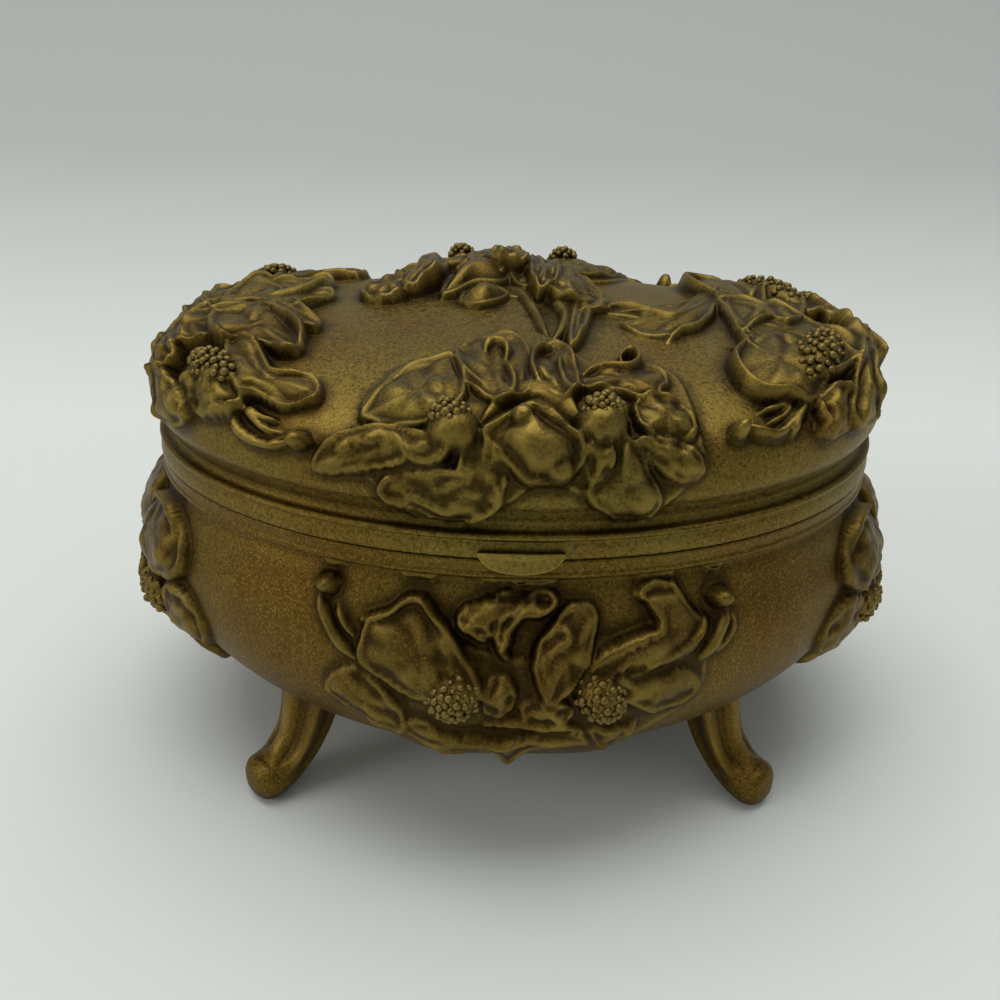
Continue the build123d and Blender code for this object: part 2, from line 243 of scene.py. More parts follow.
def grid_shape(points, rings, count, outward):
    faces = ring_faces(rings, count)
    a, b, c = (points[[f[n] for f in faces]] for n in (0, 1, 2))
    inside_out = (np.cross(b - a, c - a) @ outward).sum() < 0
    foot, top = len(points), len(points) + 1
    last = (rings - 1) * count
    points = np.vstack([points, points[:count].mean(axis=0), points[last:].mean(axis=0)])
    faces += [((j + 1) % count, j, foot) for j in range(count)]
    faces += [(last + j, last + (j + 1) % count, top) for j in range(count)]
    return Shape(points, [f[::-1] for f in faces] if inside_out else faces)


print("three rings of four points make", len(ring_faces(3, 4)), "faces")

# %% [markdown]
# The petals don't lie on the bare wall. Near a flower's heart the whole group swells up from it, and far from the
# heart a petal's edge is only a low ridge. A mound gives that swelling, and the petals are raised from it.
# %% Mound under a group
def mound_of(hearts):
    def mound(xy):
        xy = np.atleast_2d(np.asarray(xy, dtype=float))
        swell = [peak * np.exp(-((xy[:, 0] - cx) ** 2 + (xy[:, 1] - cy) ** 2) / spread ** 2)
                 for cx, cy, peak, spread in hearts]
        return np.max(swell, axis=0)

    return mound


def bare(xy):
    return np.zeros(len(np.atleast_2d(xy)))


def raised(wall, group):
    def made(kind, drawn, *more_args, rise=4.0, **more):
        middle = np.atleast_2d(np.asarray(drawn, dtype=float)).mean(axis=0)
        own = rise * HEIGHT_SHARE[kind]
        total = rise if kind is knob else own * 0.8 + float(group(middle)[0])
        return kind(seen(wall, total), drawn, *more_args, rise=own, mound=group, **more)

    return made


print("helpers for groups:", mound_of.__name__, bare.__name__, raised.__name__)

# %% [markdown]
# A petal is thin at its tip and swells towards where it grows. It has a fine lip, a shallow channel inside the lip, and
# broad and fine folds that fan out from its root. The lip hangs over its own foot a little. The skin taken from these
# shapes further down fills that overhang in, so the dark line round every petal in the photograph is painted into the
# casting's colour as shade.
# %% Petal
SUNK = -0.7


def petal(place, outline, heart, rise, mound, root=None, unit=5.0, rim=0.6, sink=0.25, puff=0.5, folds=5, fold=0.5,
          wave=0.18, tip=0.55, count=96, seed=0):
    edge = smooth(outline, count, closed=True)
    heart = np.asarray(heart, dtype=float)
    root = heart if root is None else np.asarray(root, dtype=float)
    area = np.sum(edge[:, 0] * np.roll(edge[:, 1], -1) - np.roll(edge[:, 0], -1) * edge[:, 1])
    step = np.roll(edge, -1, axis=0) - np.roll(edge, 1, axis=0)
    inward = np.stack([-step[:, 1], step[:, 0]], axis=1) * np.sign(area)
    inward = inward / (np.linalg.norm(inward, axis=1, keepdims=True) + 1e-9)
    reach = np.linalg.norm(edge - root, axis=1)
    far = reach.max() + 1e-9
    share = np.arange(count) / count * 2 * np.pi
    ruffle = 1 + wave * np.sin(3 * share + seed) + 0.7 * wave * np.sin(7 * share + 2 * seed)
    top = rise * (1.1 - (1.1 - tip) * reach / far) * ruffle
    rims = [(0.4, None), (0.35, 0.3), (0.1, 0.66), (0.0, 0.86), (0.25, 1.0), (0.55, 0.99), (1.1, 0.82),
            (1.8, 0.76)]
    flat, high = [], []
    for away, share_up in rims:
        flat.append(edge + inward * away * rim * unit)
        high.append(np.full(count, SUNK) if share_up is None else top * share_up + mound(flat[-1]))
    inner, start = flat[-1], high[-1] - mound(flat[-1])
    for _ in range(2):
        inner = (inner * 2 + np.roll(inner, 1, axis=0) + np.roll(inner, -1, axis=0)) / 4
    middle = rise * (1 - sink)
    body = edge.mean(axis=0) - root
    body = body / (np.linalg.norm(body) + 1e-9)
    for f in (0.06, 0.14, 0.24, 0.36, 0.48, 0.6, 0.72, 0.84, 0.95):
        here = inner * (1 - f) + heart * f
        close = np.linalg.norm(here - root, axis=1) / far
        along, beside = (here - root) @ body, (here - root) @ np.array([-body[1], body[0]])
        spread = np.arctan2(beside, np.abs(along) + 0.12 * far)
        ridge = np.cos(folds * spread * 2.0 + seed + 0.9 * np.sin(3 * close + seed))
        fine = np.cos(folds * spread * 6.1 + 2 * seed + 1.3 * close) * 0.28
        ridge = (np.sign(ridge) * np.abs(ridge) ** 0.8 + fine) * fold * math.sin(math.pi * min(0.2 + f, 1) ** 0.9)
        flat.append(here)
        high.append(start * (1 - f) + middle * f + puff * math.sin(math.pi * f * 0.8)
                    + ridge * np.clip(close * 2.0, 0, 1) + mound(here))
    points = place(np.vstack(flat), np.concatenate(high))
    centre = place(heart[None], 0.0)[0]
    above = place(heart[None], 1.0)[0]
    return grid_shape(points, len(flat), count, above - centre)


print("helper for petals:", petal.__name__)

# %% [markdown]
# Stems, curled tips and the rolled edges that stand on a petal are ribbons: a soft ridge that follows a line, thick
# in the middle and thin at its ends. Some end in a round knob.
# %% Ribbon and knob
def ribbon(place, path, width, rise, mound, unit=5.0, ends=(0.35, 0.35), lean=0.2):
    path = np.asarray(path, dtype=float)
    length = np.linalg.norm(np.diff(path, axis=0), axis=1).sum() / unit
    steps = int(max(14, min(60, length / 0.55)))
    line = smooth(path, steps)
    step = np.gradient(line, axis=0)
    side = np.stack([-step[:, 1], step[:, 0]], axis=1)
    side = side / (np.linalg.norm(side, axis=1, keepdims=True) + 1e-9)
    t = np.linspace(0, 1, steps + 1)
    thick = np.interp(t, [0, 0.25, 0.75, 1], [ends[0], 1, 1, ends[1]])
    thick = thick * np.sqrt(np.clip(1 - np.abs(2 * t - 1) ** 10, 0.05, 1))
    cut = [(-0.8, None), (-0.86, 0.3), (-1.0, 0.62), (-0.8, 0.86), (-0.4 + lean, 0.99), (0.1 + lean, 1.0),
           (0.62, 0.85), (1.0, 0.58), (0.86, 0.3), (0.8, None)]
    flat, high = [], []
    for off, up in cut:
        flat.append(line + side * (off * thick * width / 2)[:, None])
        high.append(np.full(steps + 1, SUNK) if up is None
                    else rise * up * (0.4 + 0.6 * thick) + mound(flat[-1]))
    count = len(cut)
    points = place(np.vstack(flat), np.concatenate(high)).reshape(count, steps + 1, 3)
    points = points.transpose(1, 0, 2).reshape(-1, 3)
    out = place(line[:1], 1.0)[0] - place(line[:1], 0.0)[0]
    faces = ring_faces(steps + 1, count)
    crest = [f for f in faces if f[0] % count == 4]
    a, b, c = (points[[f[q] for f in crest]] for q in (0, 1, 2))
    inside_out = (np.cross(b - a, c - a) @ out).sum() < 0
    faces += [tuple(range(count))[::-1], tuple(steps * count + j for j in range(count))]
    return Shape(points, [f[::-1] for f in faces] if inside_out else faces)


def knob(place, centre, radius, rise, mound, unit=5.0, rough=0.0, seed=1, count=26, oval=1.0, flatten=0.0):
    centre = np.asarray(centre, dtype=float)
    turns = all_round(count)
    rng = np.random.default_rng(seed)
    bumps = [(rng.uniform(0.5, 1), rng.uniform(0, 6.28), int(rng.integers(3, 9)), rng.uniform(1, 4)) for _ in range(6)]
    ball = radius / unit
    flat, high = [], []
    for phi in [None, -0.25, 0.1, 0.35, 0.6, 0.85, 1.1, 1.35]:
        r = radius * (0.9 if phi is None else math.cos(phi))
        here = centre + np.stack([np.cos(turns) * r, np.sin(turns) * r * oval], axis=1)
        if phi is None:
            h = np.full(count, SUNK)
        else:
            h = np.full(count, max(rise - ball, 0) + min(ball, rise) * math.sin(phi) * (1 - flatten))
            for amount, start, waves, up in bumps:
                h = h + rough * amount * np.sin(waves * turns + start + up * phi * 2) * max(math.cos(phi), 0.3) * 0.4
        flat.append(here)
        high.append(h)
    points = place(np.vstack(flat), np.concatenate(high))
    n = place(centre[None], 1.0)[0] - place(centre[None], 0.0)[0]
    return grid_shape(points, len(flat), count, n)


HEIGHT_SHARE = {knob: 1.0, ribbon: 0.62, petal: 0.78}
print("kinds of relief:", [kind.__name__ for kind in HEIGHT_SHARE])

# %% [markdown]
# The flowers at the front of the lid: two round hearts, a pouch between them that hangs over the wall, and petals
# that spread to both sides. The corner points below are read off the photograph, in its pixels.
# %% Lid, front flowers
L1, L2 = (451, 417), (606, 410)
on_lid = raised(lid_wall, mound_of([(*L1, 1.5, 50), (*L2, 1.5, 50), (535, 440, 1.6, 45)]))

lid_front = [
    on_lid(petal, [(360, 412), (359, 402), (372, 386), (388, 370), (404, 360), (422, 354), (440, 350), (453, 349),
                   (460, 362), (466, 380), (462, 400), (440, 418), (415, 424), (385, 420)], (415, 392), rise=3.6,
           root=L1, folds=3, fold=0.5, seed=1),
    on_lid(petal, [(455, 347), (466, 336), (482, 328), (503, 324), (520, 329), (530, 345), (532, 366), (530, 388),
                   (516, 400), (497, 402), (478, 392), (464, 376)], (494, 368), rise=4.2, root=(500, 405), seed=2,
           folds=4, sink=0.5),
    on_lid(petal, [(529, 354), (538, 340), (553, 334), (567, 339), (576, 354), (579, 374), (578, 392), (566, 398),
                   (552, 392), (540, 380), (531, 368)], (557, 366), rise=4.4, root=(575, 400), folds=4, seed=3,
           sink=0.5),
    on_lid(petal, [(575, 378), (584, 368), (600, 364), (622, 362), (640, 354), (656, 356), (668, 364), (671, 375),
                   (664, 382), (661, 392), (644, 395), (622, 391), (600, 392), (584, 390)], (622, 377), rise=3.6,
           root=(590, 392), folds=5, fold=0.45, seed=4, sink=0.35),
    on_lid(petal, [(634, 402), (650, 391), (668, 390), (685, 395), (697, 408), (701, 422), (694, 433), (680, 438),
                   (662, 436), (646, 430), (636, 418)], (668, 414), rise=4.4, root=L2, folds=6, fold=0.3, seed=5,
           sink=0.3),
    on_lid(petal, [(634, 441), (650, 437), (672, 438), (692, 441), (704, 452), (709, 468), (706, 481), (692, 486),
                   (674, 480), (656, 464), (643, 452)], (680, 460), rise=4.2, root=L2, folds=4, seed=6, sink=0.35),
    on_lid(petal, [(622, 438), (636, 444), (648, 462), (658, 480), (665, 500), (660, 516), (642, 526), (620, 527),
                   (602, 518), (590, 504), (589, 486), (602, 474), (612, 458)], (625, 492), rise=3.4, root=L2,
           folds=3, seed=7, sink=0.35),
    on_lid(petal, [(590, 444), (602, 439), (613, 446), (617, 460), (610, 476), (599, 486), (590, 478), (586, 460)],
           (601, 460), rise=5.0, root=(596, 430), folds=3, seed=8),
    on_lid(petal, [(376, 496), (378, 484), (392, 476), (415, 471), (442, 470), (470, 472), (490, 478), (502, 494),
                   (500, 512), (486, 522), (464, 527), (440, 526), (416, 519), (396, 511), (382, 505)], (438, 497),
           rise=4.0, root=(480, 450), folds=4, fold=0.5, seed=9, sink=0.5),
    on_lid(petal, [(464, 446), (476, 434), (490, 434), (501, 444), (506, 462), (507, 482), (500, 500), (484, 506),
                   (468, 496), (459, 478), (459, 460)], (484, 470), rise=4.6, root=(470, 430), folds=3, seed=10,
           sink=0.35),
    on_lid(petal, [(306, 462), (313, 446), (326, 434), (344, 426), (364, 423), (386, 421), (408, 428), (430, 436),
                   (450, 444), (446, 456), (426, 461), (408, 460), (394, 466), (370, 470), (344, 474), (322, 478),
                   (308, 474)], (378, 446), rise=4.2, root=L1, folds=7, fold=0.6, seed=11, sink=0.4),
]
lid_front.append(on_lid(petal, [(358, 402), (372, 386), (404, 360), (453, 348), (503, 324), (553, 334), (600, 364),
                                (668, 364), (697, 408), (709, 468), (692, 486), (660, 516), (620, 527), (590, 500),
                                (540, 486), (500, 512), (440, 526), (380, 505), (366, 480), (310, 474), (306, 462),
                                (344, 426), (362, 420)], (530, 430), rise=1.0, folds=7, fold=0.2, sink=0.0, puff=0.2,
                        rim=1.2, seed=30))
print("petals on the lid's front:", len(lid_front))

# %% [markdown]
# Over those petals come the pouch, the two hearts, and the rolled edges that stand on the petals.
# %% Lid, front pouch, hearts and curled edges
lid_front += [
    on_lid(ribbon, [(480, 420), (496, 402), (516, 389), (540, 384), (560, 394), (574, 412), (588, 432)], 17, rise=4.2,
           lean=-0.2),
    on_lid(petal, [(480, 424), (494, 416), (510, 408), (522, 402), (537, 402), (553, 411), (570, 420), (585, 430),
                   (589, 446), (585, 466), (570, 483), (545, 489), (524, 484), (510, 466), (495, 449)], (540, 452),
           rise=6.8, root=(533, 398), folds=2, fold=0.35, seed=12, sink=0.14, puff=1.7, rim=1.1,
           wave=0.05),
    on_lid(ribbon, [(500, 414), (512, 408), (524, 416), (538, 408), (552, 410), (566, 424), (584, 430)], 7, rise=8.1,
           lean=0.1),
    on_lid(knob, (523, 407), 11, rise=7.9, oval=0.8),
    on_lid(knob, L1, 31, rise=7.0, rough=0.5, seed=3, count=44, oval=0.95),
    on_lid(knob, L2, 30, rise=7.0, rough=0.5, seed=4, count=44, oval=0.9),
    on_lid(ribbon, [(486, 352), (487, 342), (497, 338), (507, 345), (505, 356)], 10, rise=6.0),
    on_lid(ribbon, [(499, 357), (508, 364), (514, 376), (513, 390), (505, 402)], 6, rise=5.8, lean=0.3),
    on_lid(ribbon, [(556, 343), (540, 344), (532, 358), (536, 374), (547, 386)], 6, rise=5.6),
    on_lid(ribbon, [(560, 350), (560, 368), (568, 386)], 6, rise=5.2),
    on_lid(ribbon, [(574, 384), (588, 370), (608, 365), (630, 364), (640, 354), (632, 344), (621, 350), (626, 360)],
           6, rise=5.0, lean=0.2),
    on_lid(ribbon, [(596, 398), (618, 390), (640, 395), (660, 394)], 5, rise=4.4),
    on_lid(ribbon, [(376, 434), (390, 430), (400, 442), (408, 456), (424, 461), (442, 458), (450, 446)], 7, rise=5.6),
    on_lid(knob, (368, 437), 11, rise=3.6, rough=0.25, seed=5, oval=0.7),
    on_lid(knob, (340, 447), 11, rise=3.4, rough=0.25, seed=6, oval=0.7),
    on_lid(ribbon, [(396, 494), (414, 501), (430, 508), (446, 515), (462, 512), (480, 506)], 7, rise=5.0),
    on_lid(ribbon, [(398, 476), (384, 480), (378, 492), (386, 502), (402, 512)], 6, rise=4.6),
    on_lid(ribbon, [(455, 349), (464, 366), (480, 382), (496, 396)], 5, rise=4.4),
    on_lid(knob, (563, 470), 15, rise=7.2, rough=0.15, seed=8, flatten=0.4),
    on_lid(knob, (437, 384), 20, rise=3.8, rough=0.2, seed=9),
]
print("shapes on the lid's front:", len(lid_front))

# %% [markdown]
# A stem rises from the flowers to a bud on the crown, and a long leaf scrolls away from it to the right.
# %% Lid, stem, bud and scroll leaf
on_lid = raised(lid_wall, bare)
lid_crown = [
    on_lid(petal, [(441, 287), (449, 273), (466, 264), (488, 261), (506, 263), (511, 271), (500, 279), (474, 282),
                   (456, 287)], (478, 272), rise=4.2, sink=-0.35, puff=1.6, fold=0.06, rim=0.4,
           wave=0.0, tip=0.5, seed=1),
    on_lid(petal, [(459, 297), (466, 288), (482, 284), (500, 284), (509, 289), (500, 297), (480, 302)], (484, 292),
           rise=2.8, sink=-0.35, puff=1.0, fold=0.06, rim=0.4, wave=0.0,
           tip=0.5, seed=2),
    on_lid(ribbon, [(510, 262), (522, 257), (530, 263), (527, 276), (514, 281)], 6, rise=3.6),
    on_lid(ribbon, [(506, 284), (522, 292), (533, 306), (541, 322), (550, 338)], 8, rise=2.4),
    on_lid(ribbon, [(544, 296), (556, 300), (565, 312), (562, 326), (552, 338)], 9, rise=3.0),
    on_lid(ribbon, [(572, 286), (568, 304), (570, 320), (566, 338)], 8, rise=2.4),
    on_lid(petal, [(577, 290), (590, 283), (600, 292), (612, 304), (600, 302), (592, 310), (586, 326), (578, 340),
                   (570, 344), (569, 330), (573, 308)], (582, 308), rise=3.0, root=(570, 345), folds=3, seed=4,
           rim=0.8),
    on_lid(petal, [(604, 308), (620, 300), (642, 302), (664, 304), (684, 300), (702, 290), (714, 284), (717, 300),
                   (710, 318), (694, 326), (672, 333), (652, 333), (634, 328), (622, 320), (640, 316)], (672, 314),
           rise=2.0, root=(712, 300), folds=7, fold=0.45, seed=5, tip=0.4, sink=0.2),
    on_lid(ribbon, [(600, 304), (622, 301), (646, 307), (672, 313), (696, 306), (712, 290)], 6, rise=3.6),
    on_lid(ribbon, [(668, 335), (682, 327), (700, 322), (714, 308)], 5, rise=3.2),
]
print("shapes on the lid's front and crown:", len(lid_front) + len(lid_crown))

# %% [markdown]
# Round both ends of the lid run wider leaves with knobbed curls, and the hearts there are rings of small pearls.
# %% Lid, left end
on_lid = raised(lid_wall, mound_of([(204, 356, 1.6, 50)]))
lid_left = [
    on_lid(petal, [(204, 300), (226, 293), (250, 288), (271, 281), (288, 287), (302, 299), (320, 309), (314, 318),
                   (296, 316), (270, 306), (240, 306), (216, 312)], (262, 297), rise=5.0, root=(205, 330), folds=4,
           seed=1),
    on_lid(petal, [(210, 330), (212, 312), (228, 300), (250, 296), (268, 300), (286, 308), (300, 324), (300, 338),
                   (286, 343), (262, 338), (240, 337), (224, 340)], (258, 320), rise=4.8, root=(206, 350), folds=4,
           fold=0.5, tip=0.6, seed=2, sink=0.55),
    on_lid(petal, [(168, 336), (172, 318), (182, 304), (194, 298), (206, 304), (214, 318), (212, 332), (196, 338),
                   (178, 342)], (190, 320), rise=4.2, root=(204, 350), folds=3, tip=0.6, seed=3),
    on_lid(petal, [(142, 354), (146, 343), (154, 333), (164, 325), (170, 334), (174, 350), (164, 360), (150, 362)],
           (158, 345), rise=5.0, root=(190, 355), folds=2, tip=0.6, seed=4),
    on_lid(petal, [(226, 342), (244, 336), (257, 341), (265, 356), (271, 369), (286, 372), (302, 368), (314, 369),
                   (319, 380), (314, 393), (298, 398), (280, 402), (264, 396), (252, 390), (240, 392), (230, 376)],
           (262, 376), rise=4.2, root=(206, 356), folds=5, fold=0.5, tip=0.6, seed=5, sink=0.4),
    on_lid(petal, [(176, 380), (196, 371), (220, 366), (236, 376), (240, 392), (234, 403), (218, 408), (202, 413),
                   (188, 410), (176, 400)], (208, 390), rise=3.8, root=(204, 355), folds=4, tip=0.6, seed=6),
    on_lid(petal, [(143, 366), (158, 366), (172, 380), (180, 400), (178, 420), (166, 430), (152, 422), (146, 402)],
           (162, 396), rise=4.4, root=(200, 356), folds=3, tip=0.6, seed=7),
    on_lid(ribbon, [(262, 300), (276, 308), (290, 314), (300, 325), (297, 337)], 8, rise=6.0),
    on_lid(ribbon, [(214, 306), (234, 300), (250, 300)], 6, rise=5.6),
    on_lid(ribbon, [(252, 340), (262, 356), (272, 370), (292, 371), (312, 370)], 6, rise=5.0),
    on_lid(ribbon, [(197, 411), (212, 406), (226, 404), (237, 394)], 6, rise=5.4),
    on_lid(ribbon, [(228, 412), (234, 428), (247, 439), (264, 445), (280, 443), (290, 436)], 11, rise=4.0),
    on_lid(ribbon, [(240, 402), (250, 416), (262, 428), (278, 433)], 7, rise=3.6),
    on_lid(ribbon, [(246, 402), (258, 414), (276, 419)], 6, rise=3.2),
    on_lid(knob, (288, 437), 10, rise=4.8),
    on_lid(knob, (204, 354), 28, rise=6.4, rough=0.3, seed=7, count=40, oval=0.72, flatten=0.15),
    on_lid(knob, (272, 290), 14, rise=4.6, rough=0.2, seed=8, oval=0.5, flatten=0.4),
]
print("shapes on the lid's left end:", len(lid_left))

# %% [markdown]
# The right end has the same kinds of leaf in another arrangement, so it is drawn on its own.
# %% Lid, right end
on_lid = raised(lid_wall, mound_of([(828, 337, 1.6, 50)]))
lid_right = [
    on_lid(petal, [(714, 284), (738, 277), (758, 272), (776, 275), (792, 283), (802, 296), (804, 314), (790, 323),
                   (772, 318), (756, 322), (742, 326), (731, 310), (722, 296)], (764, 298), rise=4.8,
           root=(822, 330), folds=4, fold=0.5, tip=0.6, seed=1, sink=0.45),
    on_lid(petal, [(798, 286), (815, 283), (833, 283), (846, 293), (858, 306), (867, 321), (860, 330), (846, 318),
                   (826, 308), (806, 304)], (833, 300), rise=5.2, root=(828, 335), folds=3, tip=0.6, seed=2),
    on_lid(petal, [(758, 322), (776, 322), (792, 330), (806, 344), (820, 355), (832, 362), (830, 380), (818, 397),
                   (800, 395), (784, 389), (766, 391), (750, 380), (736, 367), (732, 355), (739, 344), (748, 333)],
           (782, 360), rise=4.0, root=(828, 337), folds=3, fold=0.35, tip=0.6, seed=3, sink=0.45, puff=0.9),
    on_lid(petal, [(866, 324), (874, 346), (880, 370), (890, 388), (893, 402), (886, 422), (872, 431), (862, 420),
                   (857, 396), (857, 368), (860, 344)], (872, 384), rise=5.2, root=(840, 340), folds=3, tip=0.6,
           seed=4),
    on_lid(petal, [(822, 396), (835, 384), (850, 384), (859, 396), (857, 414), (853, 432), (843, 441), (831, 434),
                   (832, 418), (826, 407)], (842, 410), rise=4.8, root=(832, 350), folds=3, tip=0.6, seed=5),
    on_lid(ribbon, [(758, 324), (746, 336), (736, 352), (746, 372), (762, 384), (778, 388), (794, 388), (820, 398)],
           8, rise=6.0, lean=0.1),
    on_lid(ribbon, [(700, 292), (714, 284), (724, 296), (731, 312), (744, 328)], 5, rise=4.0),
    on_lid(ribbon, [(740, 284), (752, 292), (768, 287), (784, 282)], 6, rise=6.0),
    on_lid(ribbon, [(792, 398), (781, 405), (762, 408)], 6, rise=3.2),
    on_lid(ribbon, [(794, 400), (785, 414), (768, 422)], 7, rise=3.4),
    on_lid(ribbon, [(798, 402), (793, 420), (781, 431), (762, 428), (746, 419)], 9, rise=3.8),
    on_lid(ribbon, [(808, 402), (800, 416), (797, 436)], 9, rise=4.0, ends=(0.8, 0.1)),
    on_lid(knob, (748, 421), 8, rise=4.0),
    on_lid(knob, (828, 337), 29, rise=6.4, rough=0.3, seed=9, count=40, oval=0.9, flatten=0.15),
]
print("shapes on the lid's ends:", len(lid_left) + len(lid_right))

# %% [markdown]
# On the belly the flowers hang the other way: the hearts are low, and tall petals with a wavy rolled edge stand
# above them. Leaves run under the hearts and wrap under the bowl.
# %% Base, front flowers
B1, B2 = (450, 708), (606, 709)
on_base = raised(base_wall, mound_of([(*B1, 1.5, 55), (*B2, 1.5, 55)]))

base_front = [
    on_base(petal, [(354, 660), (356, 640), (364, 620), (384, 616), (398, 604), (416, 600), (428, 608), (438, 624),
                    (452, 638), (462, 658), (476, 678), (482, 698), (466, 704), (440, 700), (412, 700), (384, 688),
                    (364, 676)], (420, 656), rise=4.6, root=B1, folds=4, fold=0.5, seed=1, sink=0.35),
    on_base(petal, [(456, 628), (460, 611), (474, 604), (490, 601), (500, 592), (514, 590), (524, 598), (516, 612),
                    (502, 624), (494, 638), (474, 636)], (484, 618), rise=5.0, root=(500, 660), folds=3, seed=2),
    on_base(petal, [(496, 640), (500, 626), (514, 612), (526, 598), (538, 589), (552, 591), (559, 602), (553, 613),
                    (540, 617), (526, 620), (514, 630), (508, 644), (500, 652)], (528, 608), rise=5.6,
            root=(505, 665), folds=3, seed=3),
    on_base(petal, [(536, 660), (540, 644), (552, 630), (562, 614), (576, 605), (594, 606), (601, 618), (596, 640),
                    (590, 662), (580, 682), (566, 697), (550, 705), (540, 690), (534, 674)], (566, 656), rise=4.6,
            root=(560, 705), folds=3, fold=0.45, seed=4),
    on_base(petal, [(584, 690), (590, 668), (604, 654), (626, 645), (648, 636), (662, 630), (664, 614), (652, 604),
                    (641, 600), (644, 588), (660, 582), (678, 584), (688, 598), (700, 612), (711, 624), (706, 644),
                    (690, 660), (664, 668), (636, 668), (612, 676), (600, 690)], (668, 634), rise=4.4,
            root=(590, 700), folds=5, fold=0.5, seed=5, sink=0.3),
    on_base(petal, [(606, 686), (630, 673), (660, 670), (690, 673), (704, 684), (700, 702), (678, 713), (652, 713),
                    (632, 706), (618, 696)], (662, 692), rise=3.8, root=B2, folds=6, fold=0.4, seed=6,
            sink=0.25),
    on_base(petal, [(322, 692), (328, 676), (348, 669), (368, 678), (384, 692), (402, 712), (404, 732), (384, 727),
                    (356, 716), (336, 706)], (362, 698), rise=3.2, root=(410, 735), folds=6, fold=0.4, seed=7,
            sink=0.2),
    on_base(petal, [(484, 696), (492, 682), (508, 684), (517, 700), (512, 716), (496, 724), (482, 716)], (499, 703),
            rise=4.6, folds=2, seed=8),
    on_base(petal, [(520, 712), (536, 703), (560, 704), (576, 714), (566, 726), (544, 730), (526, 726)], (548, 716),
            rise=4.6, folds=3, seed=9),
    on_base(petal, [(398, 730), (420, 724), (446, 736), (476, 740), (500, 746), (520, 742), (550, 736), (580, 736),
                    (592, 750), (570, 746), (545, 750), (524, 758), (506, 765), (492, 754), (466, 752), (438, 750),
                    (412, 742)], (505, 748), rise=4.2, folds=6, fold=0.3, seed=10, sink=0.2),
    on_base(petal, [(590, 736), (606, 730), (624, 730), (640, 728), (632, 738), (616, 746), (600, 752)], (612, 738),
            rise=4.2, folds=3, seed=11),
    on_base(knob, B1, 30, rise=6.6, rough=0.45, seed=13, count=44, oval=0.9),
    on_base(knob, B2, 28, rise=6.6, rough=0.45, seed=14, count=44, oval=0.95),
    on_base(ribbon, [(352, 622), (368, 618), (388, 614), (404, 602), (420, 602), (432, 618), (448, 634), (460, 656)],
            6, rise=6.0),
    on_base(ribbon, [(457, 628), (468, 632), (480, 640), (492, 642)], 6, rise=5.8),
    on_base(ribbon, [(496, 634), (512, 626), (524, 616), (542, 615), (556, 604), (550, 591), (532, 592)], 6,
            rise=6.8),
    on_base(ribbon, [(497, 640), (500, 652), (510, 664)], 7, rise=5.4),
    on_base(ribbon, [(545, 660), (556, 650), (570, 640), (566, 630), (552, 632)], 7, rise=5.8),
    on_base(ribbon, [(598, 662), (622, 648), (646, 638), (662, 632), (664, 616), (654, 602)], 8, rise=5.6),
    on_base(ribbon, [(648, 602), (645, 590), (658, 583), (676, 586), (684, 600)], 8, rise=5.0),
    on_base(ribbon, [(648, 668), (672, 658), (694, 644), (708, 628), (711, 616)], 6, rise=5.0),
    on_base(ribbon, [(356, 664), (338, 644), (326, 622), (319, 602), (320, 586)], 11, rise=3.4),
    on_base(ribbon, [(352, 640), (342, 622), (334, 604)], 6, rise=2.8),
    on_base(knob, (320, 584), 11, rise=4.4),
    on_base(ribbon, [(700, 664), (716, 644), (726, 622), (730, 602)], 11, rise=3.4),
    on_base(ribbon, [(716, 656), (732, 634), (738, 612)], 7, rise=2.8),
    on_base(knob, (730, 599), 10, rise=4.2),
    on_base(ribbon, [(410, 740), (440, 746), (470, 744), (496, 752), (508, 762)], 7, rise=5.0),
    on_base(ribbon, [(484, 730), (512, 726), (540, 730), (566, 728), (590, 736)], 7, rise=5.2),
]
base_front.append(on_base(petal, [(326, 692), (354, 662), (364, 622), (398, 606), (430, 612), (462, 640), (500, 652),
                                  (536, 660), (560, 640), (600, 640), (641, 640), (700, 614), (711, 626), (704, 684),
                                  (678, 711), (640, 728), (592, 748), (506, 762), (412, 740), (356, 714)],
                          (530, 700), rise=1.0, folds=7, fold=0.2, sink=0.0, puff=0.2, rim=1.2, seed=31))
print("shapes on the base's front:", len(base_front))

# %% [markdown]
# The ends of the bowl are seen only edge on, so these leaves are drawn in millimetres on the unrolled wall: across
# from the middle of the end, and down from the rim. The ends are alike, and the far half of each copies the near
# one.
# %% Base, ends
end_mound = mound_of([(-22, 21.5, 1.4, 11), (22, 21.5, 1.4, 11), (0, 20, 1.4, 12)])


